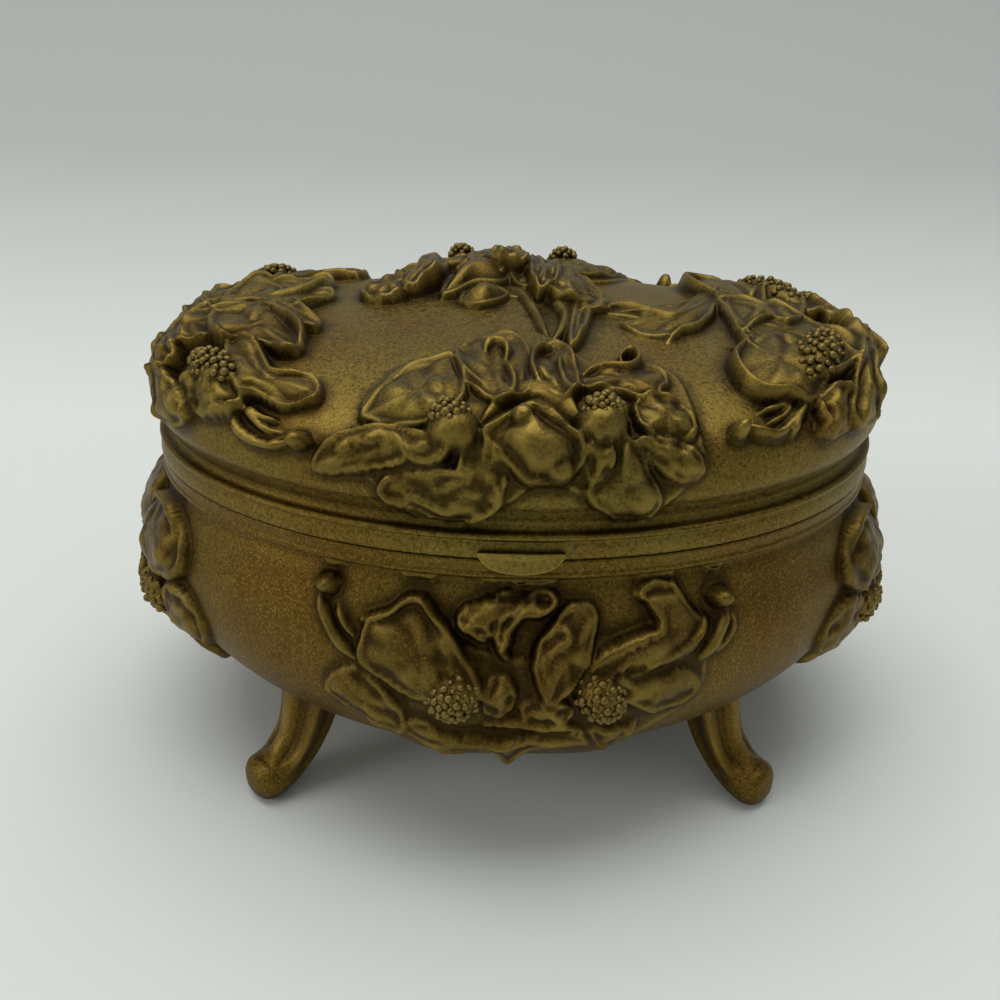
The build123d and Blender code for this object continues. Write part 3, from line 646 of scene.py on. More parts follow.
def end_flower(start):
    def on_end(kind, *args, rise=4.0, **more):
        rise = rise * HEIGHT_SHARE[kind]
        return kind(round_wall(base_wall, start), *args, rise=rise, mound=end_mound, unit=1.0, **more)

    shapes = [on_end(petal, [(-12, 7), (-8, 2.5), (0, 4), (8, 2), (13, 6), (11, 14), (0, 18), (-11, 14)], (0, 10),
                     rise=4.4, root=(0, 22), folds=5, seed=1),
              on_end(petal, [(-13, 27), (0, 22), (12, 27), (14, 34), (6, 41), (-6, 40), (-14, 35)], (0, 33), rise=4.0,
                     root=(0, 22), folds=5, seed=2)]
    for side in (-1, 1):
        for k, (outline, middle, rise) in enumerate((
                ([(11, 10), (17, 4), (25, 4), (31, 8), (32, 14), (25, 17), (15, 16)], (22, 10), 4.0),
                ([(27, 18), (33, 17), (37, 21), (35, 27), (28, 27)], (32, 22), 3.2),
                ([(15, 26), (24, 26), (31, 29), (30, 35), (22, 38), (15, 34)], (22, 31), 3.6),
                ([(1, 18), (9, 16), (17, 18), (17, 25), (6, 26)], (9, 21), 4.4))):
            outline = [(side * x, y) for x, y in outline][::side]
            shapes.append(on_end(petal, outline, (side * middle[0], middle[1]), rise=rise, root=(side * 22, 21.5),
                                 folds=4, seed=3 + k + side))
        shapes.append(on_end(knob, (side * 22, 21.5), 4.8, rise=5.2, rough=0.45, seed=21 + side, count=40))
        shapes.append(on_end(ribbon, [(side * 12, 8), (side * 17, 5), (side * 25, 5), (side * 30, 9)], 1.2, rise=4.6))
    return shapes


base_left = end_flower(math.pi)
base_right = end_flower(0.0)
print("shapes on each end of the base:", len(base_left))

# %% [markdown]
# The picture shows only the upper edges of the flowers at the back of the lid, above the bud. They stand higher than
# the petals in front.
# %% Lid, back peaks
on_lid = raised(lid_wall, mound_of([(505, 262, 3.4, 40), (432, 266, 2.8, 24), (560, 274, 2.4, 26)]))
lid_peaks = [
    on_lid(petal, [(362, 290), (365, 278), (384, 277), (400, 274), (412, 276), (408, 288), (386, 294)], (388, 284),
           rise=3.6, folds=3, seed=1),
    on_lid(petal, [(400, 274), (408, 266), (422, 256), (436, 251), (448, 257), (444, 265), (430, 270), (414, 276)],
           (426, 264), rise=3.4, folds=4, fold=0.25, tip=0.8, seed=2),
    on_lid(petal, [(456, 262), (466, 253), (482, 245), (494, 250), (502, 256), (484, 258)], (482, 253), rise=4.0,
           folds=3, fold=0.2, tip=0.9, seed=3),
    on_lid(petal, [(488, 254), (496, 246), (508, 242), (522, 245), (530, 254), (512, 256)], (508, 250), rise=4.2,
           folds=3, fold=0.2, tip=0.9, seed=4),
    on_lid(petal, [(530, 262), (534, 250), (548, 254), (560, 268), (556, 280), (540, 284), (532, 276)], (545, 267),
           rise=4.0, folds=3, tip=0.8, seed=5),
    on_lid(petal, [(548, 276), (564, 266), (582, 270), (604, 282), (596, 291), (572, 292), (554, 288)], (574, 279),
           rise=3.4, folds=3, seed=6),
]
print("peaks at the back:", len(lid_peaks))

# %% [markdown]
# The unseen back repeats the front, turned half round, and the far half of each end repeats the near half.
# %% Copy to the unseen sides
lid_shapes = lid_front + lid_crown + lid_left + lid_right + [s.turned() for s in lid_front]
lid_shapes += [s.mirrored() for s in lid_left + lid_right] + lid_peaks
base_shapes = base_front + base_left + base_right + [s.turned() for s in base_front]
print("relief shapes:", len(lid_shapes), "on the lid,", len(base_shapes), "on the base")

# %% [markdown]
# A casting is one skin, and its petals melt into the wall. So the shapes above aren't kept as they are: a fine grid of
# points on the wall feels for them from outside, each point takes the height that it finds, the steep sides are given a
# slope that metal could leave a mould with, and the whole is softened a little. What stands out from its surroundings
# is marked worn, and what lies lower is marked dark, for painted shade along with the dirt that settles there.
# %% Take one skin from the shapes
COLUMNS, ROWS = 1280, 236
REACH = 14.0


def skin(wall, shapes):
    points, faces, start = [], [], 0
    for s in shapes:
        points.append(s.points)
        faces += [tuple(i + start for i in f) for f in s.faces]
        start += len(s.points)
    tree = BVHTree.FromPolygons(np.vstack(points).tolist(), faces)
    s = np.linspace(0, len(wall.z) - 1, ROWS)[:, None]
    t = all_round(COLUMNS)[None, :]
    s, t = (v.ravel() for v in np.broadcast_arrays(s, t))
    ground, normal = wall.point(s, t), wall.normal(s, t)
    begin, way = (ground + normal * REACH).tolist(), (-normal).tolist()
    high = np.zeros(len(begin))
    for i, (p, d) in enumerate(zip(begin, way)):
        found = tree.ray_cast(p, d, REACH)
        if found[3] is not None:
            high[i] = REACH - found[3]
    return ground.reshape(ROWS, COLUMNS, 3), normal.reshape(ROWS, COLUMNS, 3), high.reshape(ROWS, COLUMNS)


def blurred(h, times):
    for _ in range(times):
        h = (np.roll(h, 1, axis=1) + 2 * h + np.roll(h, -1, axis=1)) / 4
        h[1:-1] = (h[:-2] + 2 * h[1:-1] + h[2:]) / 4
    return h


def eased(ground, high, slope=3.6, reach=8, highest=7.6):
    high = np.clip(high, 0, highest)
    wide = np.linalg.norm(ground - np.roll(ground, 1, axis=1), axis=2)
    tall = np.linalg.norm(np.diff(ground, axis=0), axis=2)
    for _ in range(reach):
        side = np.maximum(np.roll(high, 1, axis=1), np.roll(high, -1, axis=1)) - slope * wide
        high = np.maximum(high, side)
        high[1:] = np.maximum(high[1:], high[:-1] - slope * tall)
        high[:-1] = np.maximum(high[:-1], high[1:] - slope * tall)
    return blurred(high, 1)


print("points on each skin:", COLUMNS * ROWS)

# %% [markdown]
# The hinges need flat pads on the back, and relief may not cross the rim band or the pads, so its height is faded out
# there. Then each point is marked: worn on a crest, dark in a hollow, and a little dark wherever the relief stands out.
# The dark in a hollow is painted shade, together with the dirt that settles there.
# %% Clear the rim band and the hinge pads
PAD_FACE, PAD_IN, PAD_OUT, PAD_LOW, PAD_HIGH = 50.2, 13.4, 30.6, 51.0, 67.0
RIM_ROWS = 10


def cleared(ground, normal, high):
    fade = np.clip(np.arange(len(high)) / RIM_ROWS, 0, 1)[:, None]
    high = high * fade
    x, y, z = (ground[..., k] for k in range(3))
    by_pad = (np.abs(x) > PAD_IN) & (np.abs(x) < PAD_OUT) & (z > PAD_LOW) & (z < PAD_HIGH) & (y > 0)
    room = np.maximum((PAD_FACE - y) / np.maximum(normal[..., 1], 0.2), -1.0)
    return np.where(by_pad, np.minimum(high, room), high)


def marks_of(high):
    near, wide = blurred(high.copy(), 6), blurred(high.copy(), 40)
    crest = np.clip((high - near) / 0.11, 0, 1) * 0.75 + np.clip((high - wide) / 1.4, 0, 1) * 0.15
    # Painted shade, with the dirt that settles there: a point lying below its surroundings is marked dark.
    hollow = np.clip((near - high) / 0.10, 0, 1) * 0.75 + np.clip((wide - high) / 1.2, 0, 1) * 0.22
    # Raised relief is marked a little darker as well.
    hollow += np.clip(high / 0.8, 0, 1) * 0.34
    return np.clip(crest, 0, 1), np.clip(hollow, 0, 1)


print("relief kept off the pads from", PAD_IN, "to", PAD_OUT, "mm each side")

# %% [markdown]
# The bowl and the lid are thin shells. Each is closed: down the outside, over the rim band with its small bead and
# groove, and back up the plain inside, where a quarter as many points are enough. Near the middle of the top the
# columns crowd together, so every second one is dropped, more than once.
# %% Build a shell from its skin
def ring_points(rows, columns):
    rows = np.asarray(rows, dtype=float)
    t = all_round(columns)
    z, a, b = (v[:, None] for v in rows.T)
    return np.stack(np.broadcast_arrays(a * np.cos(t), b * np.sin(t), z), axis=2)


def shell_of(skin_points, worn, dark, band, inside):
    rings, marks = [], []
    for i in range(len(skin_points) - 1, -1, -1):
        ring = skin_points[i]
        wide = np.linalg.norm(ring[0] - ring[COLUMNS // 4])
        keep = COLUMNS if wide > 48 else COLUMNS // 2 if wide > 22 else COLUMNS // 4 if wide > 9 else COLUMNS // 8
        if wide > 1.2:
            rings.append(ring[::COLUMNS // keep])
            marks.append((worn[i][::COLUMNS // keep], dark[i][::COLUMNS // keep]))
    for ring in ring_points(band, COLUMNS):
        rings.append(ring)
        marks.append((np.zeros(COLUMNS), np.zeros(COLUMNS)))
    for ring in ring_points(inside, COLUMNS // 4):
        rings.append(ring)
        marks.append((np.zeros(COLUMNS // 4), np.zeros(COLUMNS // 4)))
    faces, starts, total = [], [], 0
    for ring in rings:
        starts.append(total)
        total += len(ring)
    for (p, q, n, m) in zip(starts, starts[1:], [len(r) for r in rings], [len(r) for r in rings[1:]]):
        if n == m:
            faces += [(p + j, p + (j + 1) % n, q + (j + 1) % m, q + j) for j in range(n)]
        elif m > n:
            k = m // n
            faces += [(p + j, p + (j + 1) % n) + tuple(q + (k * j + i) % m for i in range(k, -1, -1))
                      for j in range(n)]
        else:
            k = n // m
            faces += [(q + (j + 1) % m, q + j) + tuple(p + (k * j + i) % n for i in range(k + 1))
                      for j in range(m)]
    points = np.vstack(rings + [rings[0].mean(axis=0)[None], rings[-1].mean(axis=0)[None]])
    n, m = len(rings[0]), len(rings[-1])
    faces += [((j + 1) % n, j, total) for j in range(n)]
    faces += [(starts[-1] + j, starts[-1] + (j + 1) % m, total + 1) for j in range(m)]
    worn = np.concatenate([w for w, _ in marks] + [[0, 0]])
    dark = np.concatenate([d for _, d in marks] + [[0, 0]])
    return Shape(points, faces, worn, dark)


def to_object(name, shapes):
    points, faces, worn, dark, start = [], [], [], [], 0
    for s in shapes:
        points.append(s.points)
        worn.append(s.worn)
        dark.append(s.dark)
        faces += [tuple(i + start for i in f) for f in s.faces]
        start += len(s.points)
    mesh = bpy.data.meshes.new(name)
    mesh.from_pydata((np.vstack(points) * MM).tolist(), [], faces)
    mesh.validate()
    for mark, values in (("worn", worn), ("dark", dark)):
        layer = mesh.attributes.new(mark, "FLOAT", "POINT")
        layer.data.foreach_set("value", np.concatenate(values).astype(np.float32))
    mesh.shade_smooth()
    made = bpy.data.objects.new(name, mesh)
    bpy.context.scene.collection.objects.link(made)
    return made


def triangles(made):
    return sum(len(p.vertices) - 2 for p in made.data.polygons)


def thinned(made):
    count = triangles(made)
    if count > MOST_TRIANGLES:
        thin = made.modifiers.new("thin", "DECIMATE")
        thin.ratio = MOST_TRIANGLES / count
        thin.use_collapse_triangulate = True
        done = bpy.data.meshes.new_from_object(made.evaluated_get(bpy.context.evaluated_depsgraph_get()))
        made.modifiers.clear()
        made.data = done
        made.data.shade_smooth()
    print(made.name, count, "triangles, kept", triangles(made))
    return made


# %% [markdown]
# The rim bands of the two halves are listed as rows too, from the wall round the bead and over the seam to the
# inside. Every half is then cast: skin, height, marks, shell, and a last thinning of the triangles on the flats.
# %% Lid and bowl castings
METAL = 2.0
MOST_TRIANGLES = 192000
LID_INSIDE_ABOVE, BASE_INSIDE_BELOW = 63.6, 55.2

lid_band = [(63.5, 68.9, 49.8), (63.45, 69.4, 50.35), (63.2, 69.75, 50.72), (62.85, 69.85, 50.85),
            (62.5, 69.7, 50.7), (62.3, 69.4, 50.4), (62.1, 69.35, 50.35), (61.8, 69.5, 50.5), (60.8, 69.8, 50.8),
            (59.8, 69.95, 50.95), (59.35, 69.95, 50.95), (59.2, 69.8, 50.8), (59.2, 68.4, 49.4), (59.2, 67.0, 48.0),
            (59.3, 66.85, 47.85), (61.3, 66.8, 47.8), (63.2, 66.8, 47.8)]
base_band = [(55.5, 69.4, 50.4), (55.55, 69.75, 50.75), (55.8, 69.95, 50.95), (56.3, 69.95, 50.95),
             (56.6, 69.75, 50.75), (56.8, 69.6, 50.6), (57.2, 69.65, 50.65), (58.2, 69.8, 50.8),
             (58.75, 69.75, 50.75), (59.0, 69.5, 50.5), (59.0, 68.3, 49.3), (59.0, 67.1, 48.1),
             (58.85, 66.9, 47.9), (57.2, 66.8, 47.8), (55.6, 66.8, 47.8)]


def casting(name, wall, shapes, band):
    rises = wall.z[-1] > wall.z[0]
    ground, normal, high = skin(wall, shapes)
    high = cleared(ground, normal, eased(ground, high))
    worn, dark = marks_of(high)
    inside = np.stack(wall.moved(-METAL), axis=1)[6::5]
    inside = inside[inside[:, 1] > 0.6]
    beyond = inside[:, 0] > LID_INSIDE_ABOVE if rises else inside[:, 0] < BASE_INSIDE_BELOW
    made = shell_of(ground + normal * high[..., None], worn, dark, band, inside[beyond])
    if rises:
        made.faces = [f[::-1] for f in made.faces]
    return thinned(to_object(name, [made]))


lid_casting = casting("lid_casting", lid_wall, lid_shapes, lid_band)
base_casting = casting("base_casting", base_wall, base_shapes, base_band)
print("castings:", lid_casting.name, base_casting.name)

# %% [markdown]
# Antique gilding on a soft white metal has gone the way old gilding does: rubbed bright where hands reach the crests,
# brown where wax and dust have settled, a little green on the flats. The metal's own skin is grainy, because it came
# out of a mould. The two marks on each point say where it is worn and where it is dark. The dark mark, and ambient
# occlusion wherever the metal lies deep between petals, mix a deep brown into the colour: that settled dirt, and
# painted shade as well.
# %% Small helpers for node trees
class Tree:
    def __init__(self, tree):
        self.nodes, self.links = tree.nodes, tree.links

    def feed(self, socket, value):
        if isinstance(value, bpy.types.NodeSocket):
            self.links.new(value, socket)
        elif isinstance(value, tuple) and len(value) == 3 and len(socket.default_value) == 4:
            socket.default_value = (*value, 1.0)
        else:
            socket.default_value = value

    def add(self, kind, inputs, out=0, **settings):
        node = self.nodes.new(kind)
        for name, value in settings.items():
            setattr(node, name, value)
        for slot, value in inputs.items():
            self.feed(node.inputs[slot], value)
        return node.outputs[out]

    def math(self, how, a, b=None, clamp=False):
        return self.add("ShaderNodeMath", {0: a} if b is None else {0: a, 1: b}, operation=how, use_clamp=clamp)

    def mix(self, share, first, second):
        return self.add("ShaderNodeMix", {0: share, 6: first, 7: second}, 2, data_type="RGBA")

    def noise(self, place, scale, detail=3.0, rough=0.55):
        return self.add("ShaderNodeTexNoise", {"Vector": place, "Scale": scale, "Detail": detail,
                                               "Roughness": rough}, "Fac")

    def span(self, value, low, high, to_low=0.0, to_high=1.0):
        return self.add("ShaderNodeMapRange", {"Value": value, "From Min": low, "From Max": high,
                                               "To Min": to_low, "To Max": to_high})

    def mark(self, name):
        return self.add("ShaderNodeAttribute", {}, "Fac", attribute_name=name)

    def hollows(self, reach):
        return self.add("ShaderNodeAmbientOcclusion", {"Distance": reach}, "AO", samples=6)

    def bump(self, height, strength, distance, under=None):
        inputs = {"Height": height, "Strength": strength, "Distance": distance}
        return self.add("ShaderNodeBump", inputs if under is None else {**inputs, "Normal": under})


def new_material(name):
    made = bpy.data.materials.new(name)
    made.use_nodes = True
    tree = Tree(made.node_tree)
    place = tree.add("ShaderNodeTexCoord", {}, "Object")
    return made, tree, made.node_tree.nodes["Principled BSDF"].inputs, place


print("helpers ready:", Tree.__name__, new_material.__name__)

# %% [markdown]
# The gilding is built up in the order in which it aged: a brown and olive ground, a finer cloud and a cast grain over
# it, and gold where it is rubbed. Last comes a deep brown wherever it lies deep, which is settled dirt and painted
# shade.
# %% Gilt casting
# GOLD is rubbed gilding. The near-black brown is painted shade together with settled dirt.
GOLD, SHADE_AND_DIRT_BROWN = (0.54, 0.385, 0.085), (0.022, 0.012, 0.003)


def gilt_casting(name, brown=(0.172, 0.101, 0.015), olive=(0.205, 0.152, 0.030), marks=True, hollow_reach=0.006):
    made, tree, shader, place = new_material(name)
    broad, cloud = tree.noise(place, 38.0), tree.noise(place, 130.0, 4.0)
    grain, coarse = tree.noise(place, 2600.0, 2.0, 0.6), tree.noise(place, 1500.0, 2.0, 0.6)
    body = tree.mix(tree.span(broad, 0.36, 0.64), olive, brown)
    body = tree.mix(tree.span(cloud, 0.45, 0.75, 0.0, 0.35), body, (0.21, 0.143, 0.026))
    body = tree.mix(tree.span(grain, 0.50, 0.64, 0.0, 0.5), body, (0.35, 0.25, 0.060))
    body = tree.mix(tree.span(coarse, 0.52, 0.38, 0.0, 0.62), body, (0.066, 0.043, 0.009))
    if marks:
        rub = tree.math("MULTIPLY", tree.mark("worn"), tree.span(cloud, 0.35, 0.62, 0.25, 1.0), clamp=True)
        body = tree.mix(tree.math("MULTIPLY", rub, 0.5), body, GOLD)
        # Painted shade with settled dirt: the dark mark, then ambient occlusion, mix the deep brown into the hollows.
        body = tree.mix(tree.math("MULTIPLY", tree.mark("dark"), 0.8), body, SHADE_AND_DIRT_BROWN)
    body = tree.mix(tree.span(tree.hollows(hollow_reach), 0.35, 0.85, 0.85, 0.0), body, SHADE_AND_DIRT_BROWN)
    tree.feed(shader["Base Color"], body)
    shader["Metallic"].default_value = 0.95
    tree.feed(shader["Roughness"], tree.span(coarse, 0.3, 0.7, 0.36, 0.58))
    fine = tree.bump(tree.math("ADD", grain, coarse), 0.55, 0.00012)
    tree.feed(shader["Normal"], tree.bump(cloud, 0.35, 0.0006, fine))
    return made


# The lid and the bowl get two grounds of one gilding. The lid's is lighter, painted light for the sheen on its top,
# which faces the light above. The bowl's is darker, painted shade on its belly. Only the bowl's redder hue is its own.
gilt = gilt_casting("gilt_casting")
shaded_bowl_gilt = gilt_casting("gilt_bowl", brown=(0.138, 0.069, 0.009), olive=(0.158, 0.100, 0.016))


def dressed(made, material, body, nodes):
    made.data.materials.clear()
    made.data.materials.append(material)
    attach(made, body)
    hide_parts(*nodes)
    return made


dressed(lid_casting, gilt, "lid", ["lid_shell"])
dressed(base_casting, shaded_bowl_gilt, "base", ["base_shell"])
print("gilt pieces:", lid_casting.name, base_casting.name)

# %% [markdown]
# A flat brass leaf can't seat on a round wall, so the castings have two small blocks at the back of each rim, cast
# in one with it and filed flat. Each block is a rounded rectangle carried straight back, with its edges eased.
# %% Hinge pads
PAD_MIDDLE, PAD_HALF, PAD_SQUARE = 22.0, 7.2, 0.22
WALL_BEHIND = ([14.8, 29.2], [47.2, 44.5])
PAD_RINGS = ((None, 0.0), (0.45, 0.0), (0.12, 0.1), (0.0, 0.4), (0.0, 1.2))


def pad_shape(side, low, high, count=40):
    turns = all_round(count)
    c, v = np.cos(turns), np.sin(turns)
    rings = []
    for back, ease in PAD_RINGS:
        x = PAD_MIDDLE + np.sign(c) * np.abs(c) ** PAD_SQUARE * (PAD_HALF - ease)
        z = (low + high) / 2 + np.sign(v) * np.abs(v) ** PAD_SQUARE * ((high - low) / 2 - ease)
        y = np.interp(x, *WALL_BEHIND) if back is None else np.full(count, PAD_FACE - back)
        rings.append(np.stack([side * x, y, z], axis=1))
    return grid_shape(np.vstack(rings), len(rings), count, np.array([0.0, 1.0, 0.0]))


for name, material, body, node, low, high in (("lid_hinge_pads", gilt, "lid", "lid_shell", 59.25, 65.6),
                                              ("base_hinge_pads", shaded_bowl_gilt, "base", "base_shell", 52.4, 58.95)):
    dressed(to_object(name, [pad_shape(side, low, high) for side in (-1, 1)]), material, body, [node])
print("hinge pads reach back to", PAD_FACE, "mm")

# %% [markdown]
# Each leg is a small horn, thick at the knee and thin at the shin, that ends in a rounded toe turned up from the
# floor. It is carried through sections set square to its line. Three ridges with hollows between them run down it and
# fade out before the toe. Its head is cut to the bowl, just inside the metal.
# %% Legs
LEG_LINE = [(49.2, 27.0, 7.2, 5.4), (50.6, 22.0, 6.7, 5.2), (51.6, 18.0, 5.9, 4.9), (52.8, 13.8, 5.2, 4.6),
            (55.0, 9.4, 4.7, 4.1), (58.2, 6.2, 4.6, 3.9), (61.3, 4.7, 4.8, 4.0), (63.6, 4.3, 4.6, 4.0),
            (65.2, 4.2, 3.4, 3.1), (66.0, 4.2, 1.4, 1.3)]
TOE_HEADING = math.atan2(41.16, 46.75)
LEG_DROP, INTO_BOWL = 0.45, 0.9


def leg_shape(x_side, y_side, steps=72, count=96):
    line = smooth(LEG_LINE, steps)
    reach, z, wide, deep = line.T
    slope = np.gradient(line[:, :2], axis=0)
    slope = slope / np.linalg.norm(slope, axis=1, keepdims=True)
    out = np.stack([-slope[:, 1], slope[:, 0]], axis=1)
    turns = all_round(count)
    away = np.minimum(np.abs(turns), np.abs(turns - 2 * np.pi))
    relief = 1 + 0.15 * np.exp(-(away / 0.26) ** 2) - 0.18 * np.exp(-((away - 0.60) / 0.24) ** 2)
    relief += 0.14 * np.exp(-((away - 1.15) / 0.24) ** 2) - 0.16 * np.exp(-((away - 1.75) / 0.28) ** 2)
    fade = np.clip((steps * 0.78 - np.arange(steps + 1)) / (steps * 0.15), 0, 1)[:, None]
    relief = 1 + (relief[None] - 1) * fade
    c, s = np.cos(turns), np.sin(turns)
    square_c, square_s = np.sign(c) * np.abs(c) ** 0.85, np.sign(s) * np.abs(s) ** 0.85
    up = deep[:, None] * square_c * relief
    side = wide[:, None] * square_s * relief
    r = reach[:, None] + out[:, :1] * up
    h = np.maximum(z[:, None] - LEG_DROP + out[:, 1:] * up, 0.0)
    heading = math.atan2(y_side * math.sin(TOE_HEADING), x_side * math.cos(TOE_HEADING))
    x = r * math.cos(heading) - side * math.sin(heading)
    y = r * math.sin(heading) + side * math.cos(heading)
    points = np.stack([x, y, h], axis=2).reshape(-1, 3)
    wall_z, wall_a, wall_b = (v[base_wall.z < 40] for v in base_wall.moved(-INTO_BOWL))
    nearest = (points[:, :1] / np.maximum(wall_a, 0.01)) ** 2 + (points[:, 1:2] / np.maximum(wall_b, 0.01)) ** 2
    points[:, 2] = np.minimum(points[:, 2], wall_z[np.abs(nearest - 1).argmin(axis=1)])
    faces = ring_faces(steps + 1, count)
    faces += [tuple(range(count))[::-1], tuple(steps * count + j for j in range(count))]
    mesh = bmesh.new()
    corners = [mesh.verts.new(q) for q in points]
    for f in faces:
        mesh.faces.new([corners[i] for i in f])
    bmesh.ops.recalc_face_normals(mesh, faces=mesh.faces)
    mesh.verts.index_update()
    faces = [tuple(v.index for v in f.verts) for f in mesh.faces]
    mesh.free()
    ring = np.broadcast_to(relief, (steps + 1, count)).ravel()
    worn = np.clip((ring - 1.03) / 0.1, 0, 1) * 0.6
    # Painted shade: the dark mark darkens the hollows between the ridges, the top of the leg under the bowl, and the
    # toe near the floor.
    dark = np.clip((0.97 - ring) / 0.08, 0, 1) * 0.5 + np.clip((points[:, 2] - 17) / 8, 0, 1) * 0.4
    dark = dark + np.clip((1.5 - points[:, 2]) / 1.5, 0, 1) * 0.5
    return Shape(points, faces, worn, np.clip(dark, 0, 1))


for x_side, y_side, node in ((-1, -1, "leg_front_left"), (1, -1, "leg_front_right"), (-1, 1, "leg_rear_left"),
                             (1, 1, "leg_rear_right")):
    made = to_object(node + "_casting", [leg_shape(x_side, y_side)])
    dressed(made, shaded_bowl_gilt, "base", [node])
print("legs stand", round(min(v.co.z for v in made.data.vertices) * 1000, 2), "mm above the floor")

# %% [markdown]
# The thumb tab is a half round plate cast with the lid's band. It leans outwards, so a nail can get under it, and
# its curved edge is rolled and rubbed bright.
# %% Thumb tab
TAB_Y, TAB_Z, TAB_LEAN = -51.15, 60.9, math.radians(9.0)


def on_tab(xy, height):
    xy = np.atleast_2d(np.asarray(xy, dtype=float))
    down, out = xy[:, 1], np.broadcast_to(height, (len(xy),))
    y = TAB_Y - down * math.sin(TAB_LEAN) - out * math.cos(TAB_LEAN)
    z = TAB_Z - down * math.cos(TAB_LEAN) + out * math.sin(TAB_LEAN) * 0.2
    return np.stack([xy[:, 0], y, z], axis=1)


tab_outline = [(-6.95, 0.1), (-6.7, 1.1), (-6.0, 2.0), (-4.6, 2.9), (-2.6, 3.4), (0.0, 3.6), (2.6, 3.4), (4.6, 2.9),
               (6.0, 2.0), (6.7, 1.1), (6.95, 0.1), (4.0, 0.0), (0.0, -0.05), (-4.0, 0.0)]
tab = petal(on_tab, tab_outline, (0.0, 1.6), 1.15, bare, unit=1.0, rim=0.55, sink=0.5, puff=0.1, folds=0, fold=0.0,
            wave=0.0)
from_root = np.linalg.norm((tab.points - [0, -51.7, 60.6]) / [7.4, 9, 3.4], axis=1)
tab.worn = 0.35 + 0.65 * np.clip((from_root - 0.72) / 0.2, 0, 1)
dressed(to_object("lift_tab_casting", [tab]), gilt, "lid", ["lift_tab"])
print("tab points:", len(tab.points))

# %% [markdown]
# The hearts of the flowers are set with grains, like the stamens of a wild rose. The grains sit where a seed head
# has them, on a spiral. Geometry Nodes put one small ball on each point, each of a slightly different size.
# %% Stamen grains with Geometry Nodes
def spiral_points(place, centre, radius, rise, unit, count, cover=0.96, oval=1.0, flatten=0.0):
    k = np.arange(count) + 0.5
    phi = k * math.pi * (3 - math.sqrt(5))
    part = np.sqrt(k / count) * cover
    xy = np.asarray(centre) + np.stack([np.cos(phi), np.sin(phi) * oval], axis=1) * (part * radius)[:, None]
    ball = radius / unit
    high = max(rise - ball, 0) + min(ball, rise) * np.sqrt(1 - part ** 2) * (1 - flatten)
    return place(xy, high)


def new_group(name, sizes):
    group = bpy.data.node_groups.new(name, "GeometryNodeTree")
    group.interface.new_socket("Geometry", in_out="INPUT", socket_type="NodeSocketGeometry")
    for label in sizes:
        group.interface.new_socket(label, in_out="INPUT", socket_type="NodeSocketFloat")
    group.interface.new_socket("Geometry", in_out="OUTPUT", socket_type="NodeSocketGeometry")
    tree = Tree(group)
    return group, tree, tree.nodes.new("NodeGroupInput").outputs


def painted(tree, geometry, material):
    real = tree.add("GeometryNodeRealizeInstances", {0: geometry})
    even = tree.add("GeometryNodeSetShadeSmooth", {0: real})
    paint = tree.add("GeometryNodeSetMaterial", {0: even, "Material": material})
    tree.links.new(paint, tree.nodes.new("NodeGroupOutput").inputs[0])


def grain_tree(material):
    group, tree, come = new_group("stamen_grains", ("Grain radius", "Unevenness"))
    ball = tree.add("GeometryNodeMeshIcoSphere", {"Subdivisions": 2, "Radius": come["Grain radius"]}, "Mesh")
    low = tree.math("SUBTRACT", 1.0, come["Unevenness"])
    size = tree.add("FunctionNodeRandomValue", {"Seed": 11, 2: low, 3: 1.1}, 1, data_type="FLOAT")
    put = tree.add("GeometryNodeInstanceOnPoints", {"Points": come["Geometry"], "Instance": ball, "Scale": size})
    painted(tree, put, material)
    return group


def grown(name, mesh_points, tree, values, edges=()):
    mesh = bpy.data.meshes.new(name)
    mesh.from_pydata(np.asarray(mesh_points).tolist(), list(edges), [])
    made = bpy.data.objects.new(name, mesh)
    bpy.context.scene.collection.objects.link(made)
    growth = made.modifiers.new("growth", "NODES")
    growth.node_group = tree
    for item in tree.interface.items_tree:
        if item.in_out == "INPUT" and item.name in values:
            growth[item.identifier] = values[item.name]
    result = bpy.data.meshes.new_from_object(made.evaluated_get(bpy.context.evaluated_depsgraph_get()))
    made.modifiers.clear()
    made.data = result
    return made


grain_gilt = gilt_casting("gilt_grains", marks=False, hollow_reach=0.0008, brown=(0.20, 0.135, 0.035),
                          olive=(0.24, 0.18, 0.055))
grains = grain_tree(grain_gilt)
HEARTS_ON_LID = (((449, 406), 24, 7.0, 30, 0.8, 0.0), ((606, 400), 23, 7.0, 30, 0.75, 0.0),
                 ((204, 352), 27, 6.5, 40, 0.72, 0.15), ((828, 337), 28, 6.5, 40, 0.9, 0.15))
lid_hearts = [spiral_points(seen(lid_wall, rise), centre, radius, rise, 5.0, count, 0.9, oval, flatten)
              for centre, radius, rise, count, oval, flatten in HEARTS_ON_LID]
front_hearts, end_hearts = lid_hearts[:2], lid_hearts[2:]
lid_seeds = np.vstack(lid_hearts + [h * [-1, -1, 1] for h in front_hearts] + [h * [1, -1, 1] for h in end_hearts])
base_hearts = [spiral_points(seen(base_wall, 6.4), c, r, 6.4, 5.0, 44, 0.95, 0.92) for c, r in ((B1, 30), (B2, 28))]
base_seeds = base_hearts + [h * [-1, -1, 1] for h in base_hearts]
for start in (math.pi, 0.0):
    for centre, radius in (((-22, 21.5), 4.8), ((22, 21.5), 4.8)):
        base_seeds.append(spiral_points(round_wall(base_wall, start), centre, radius, 5.0, 1.0, 36))
for name, seeds, body, node in (("lid_stamen_grains", lid_seeds, "lid", "lid_shell"),
                                ("base_stamen_grains", np.vstack(base_seeds), "base", "base_shell")):
    made = grown(name, seeds * MM, grains, {"Grain radius": 0.00082, "Unevenness": 0.45})
    dressed(made, grain_gilt, body, [node])
    print(name, len(seeds), "grains,", len(made.data.polygons), "faces")
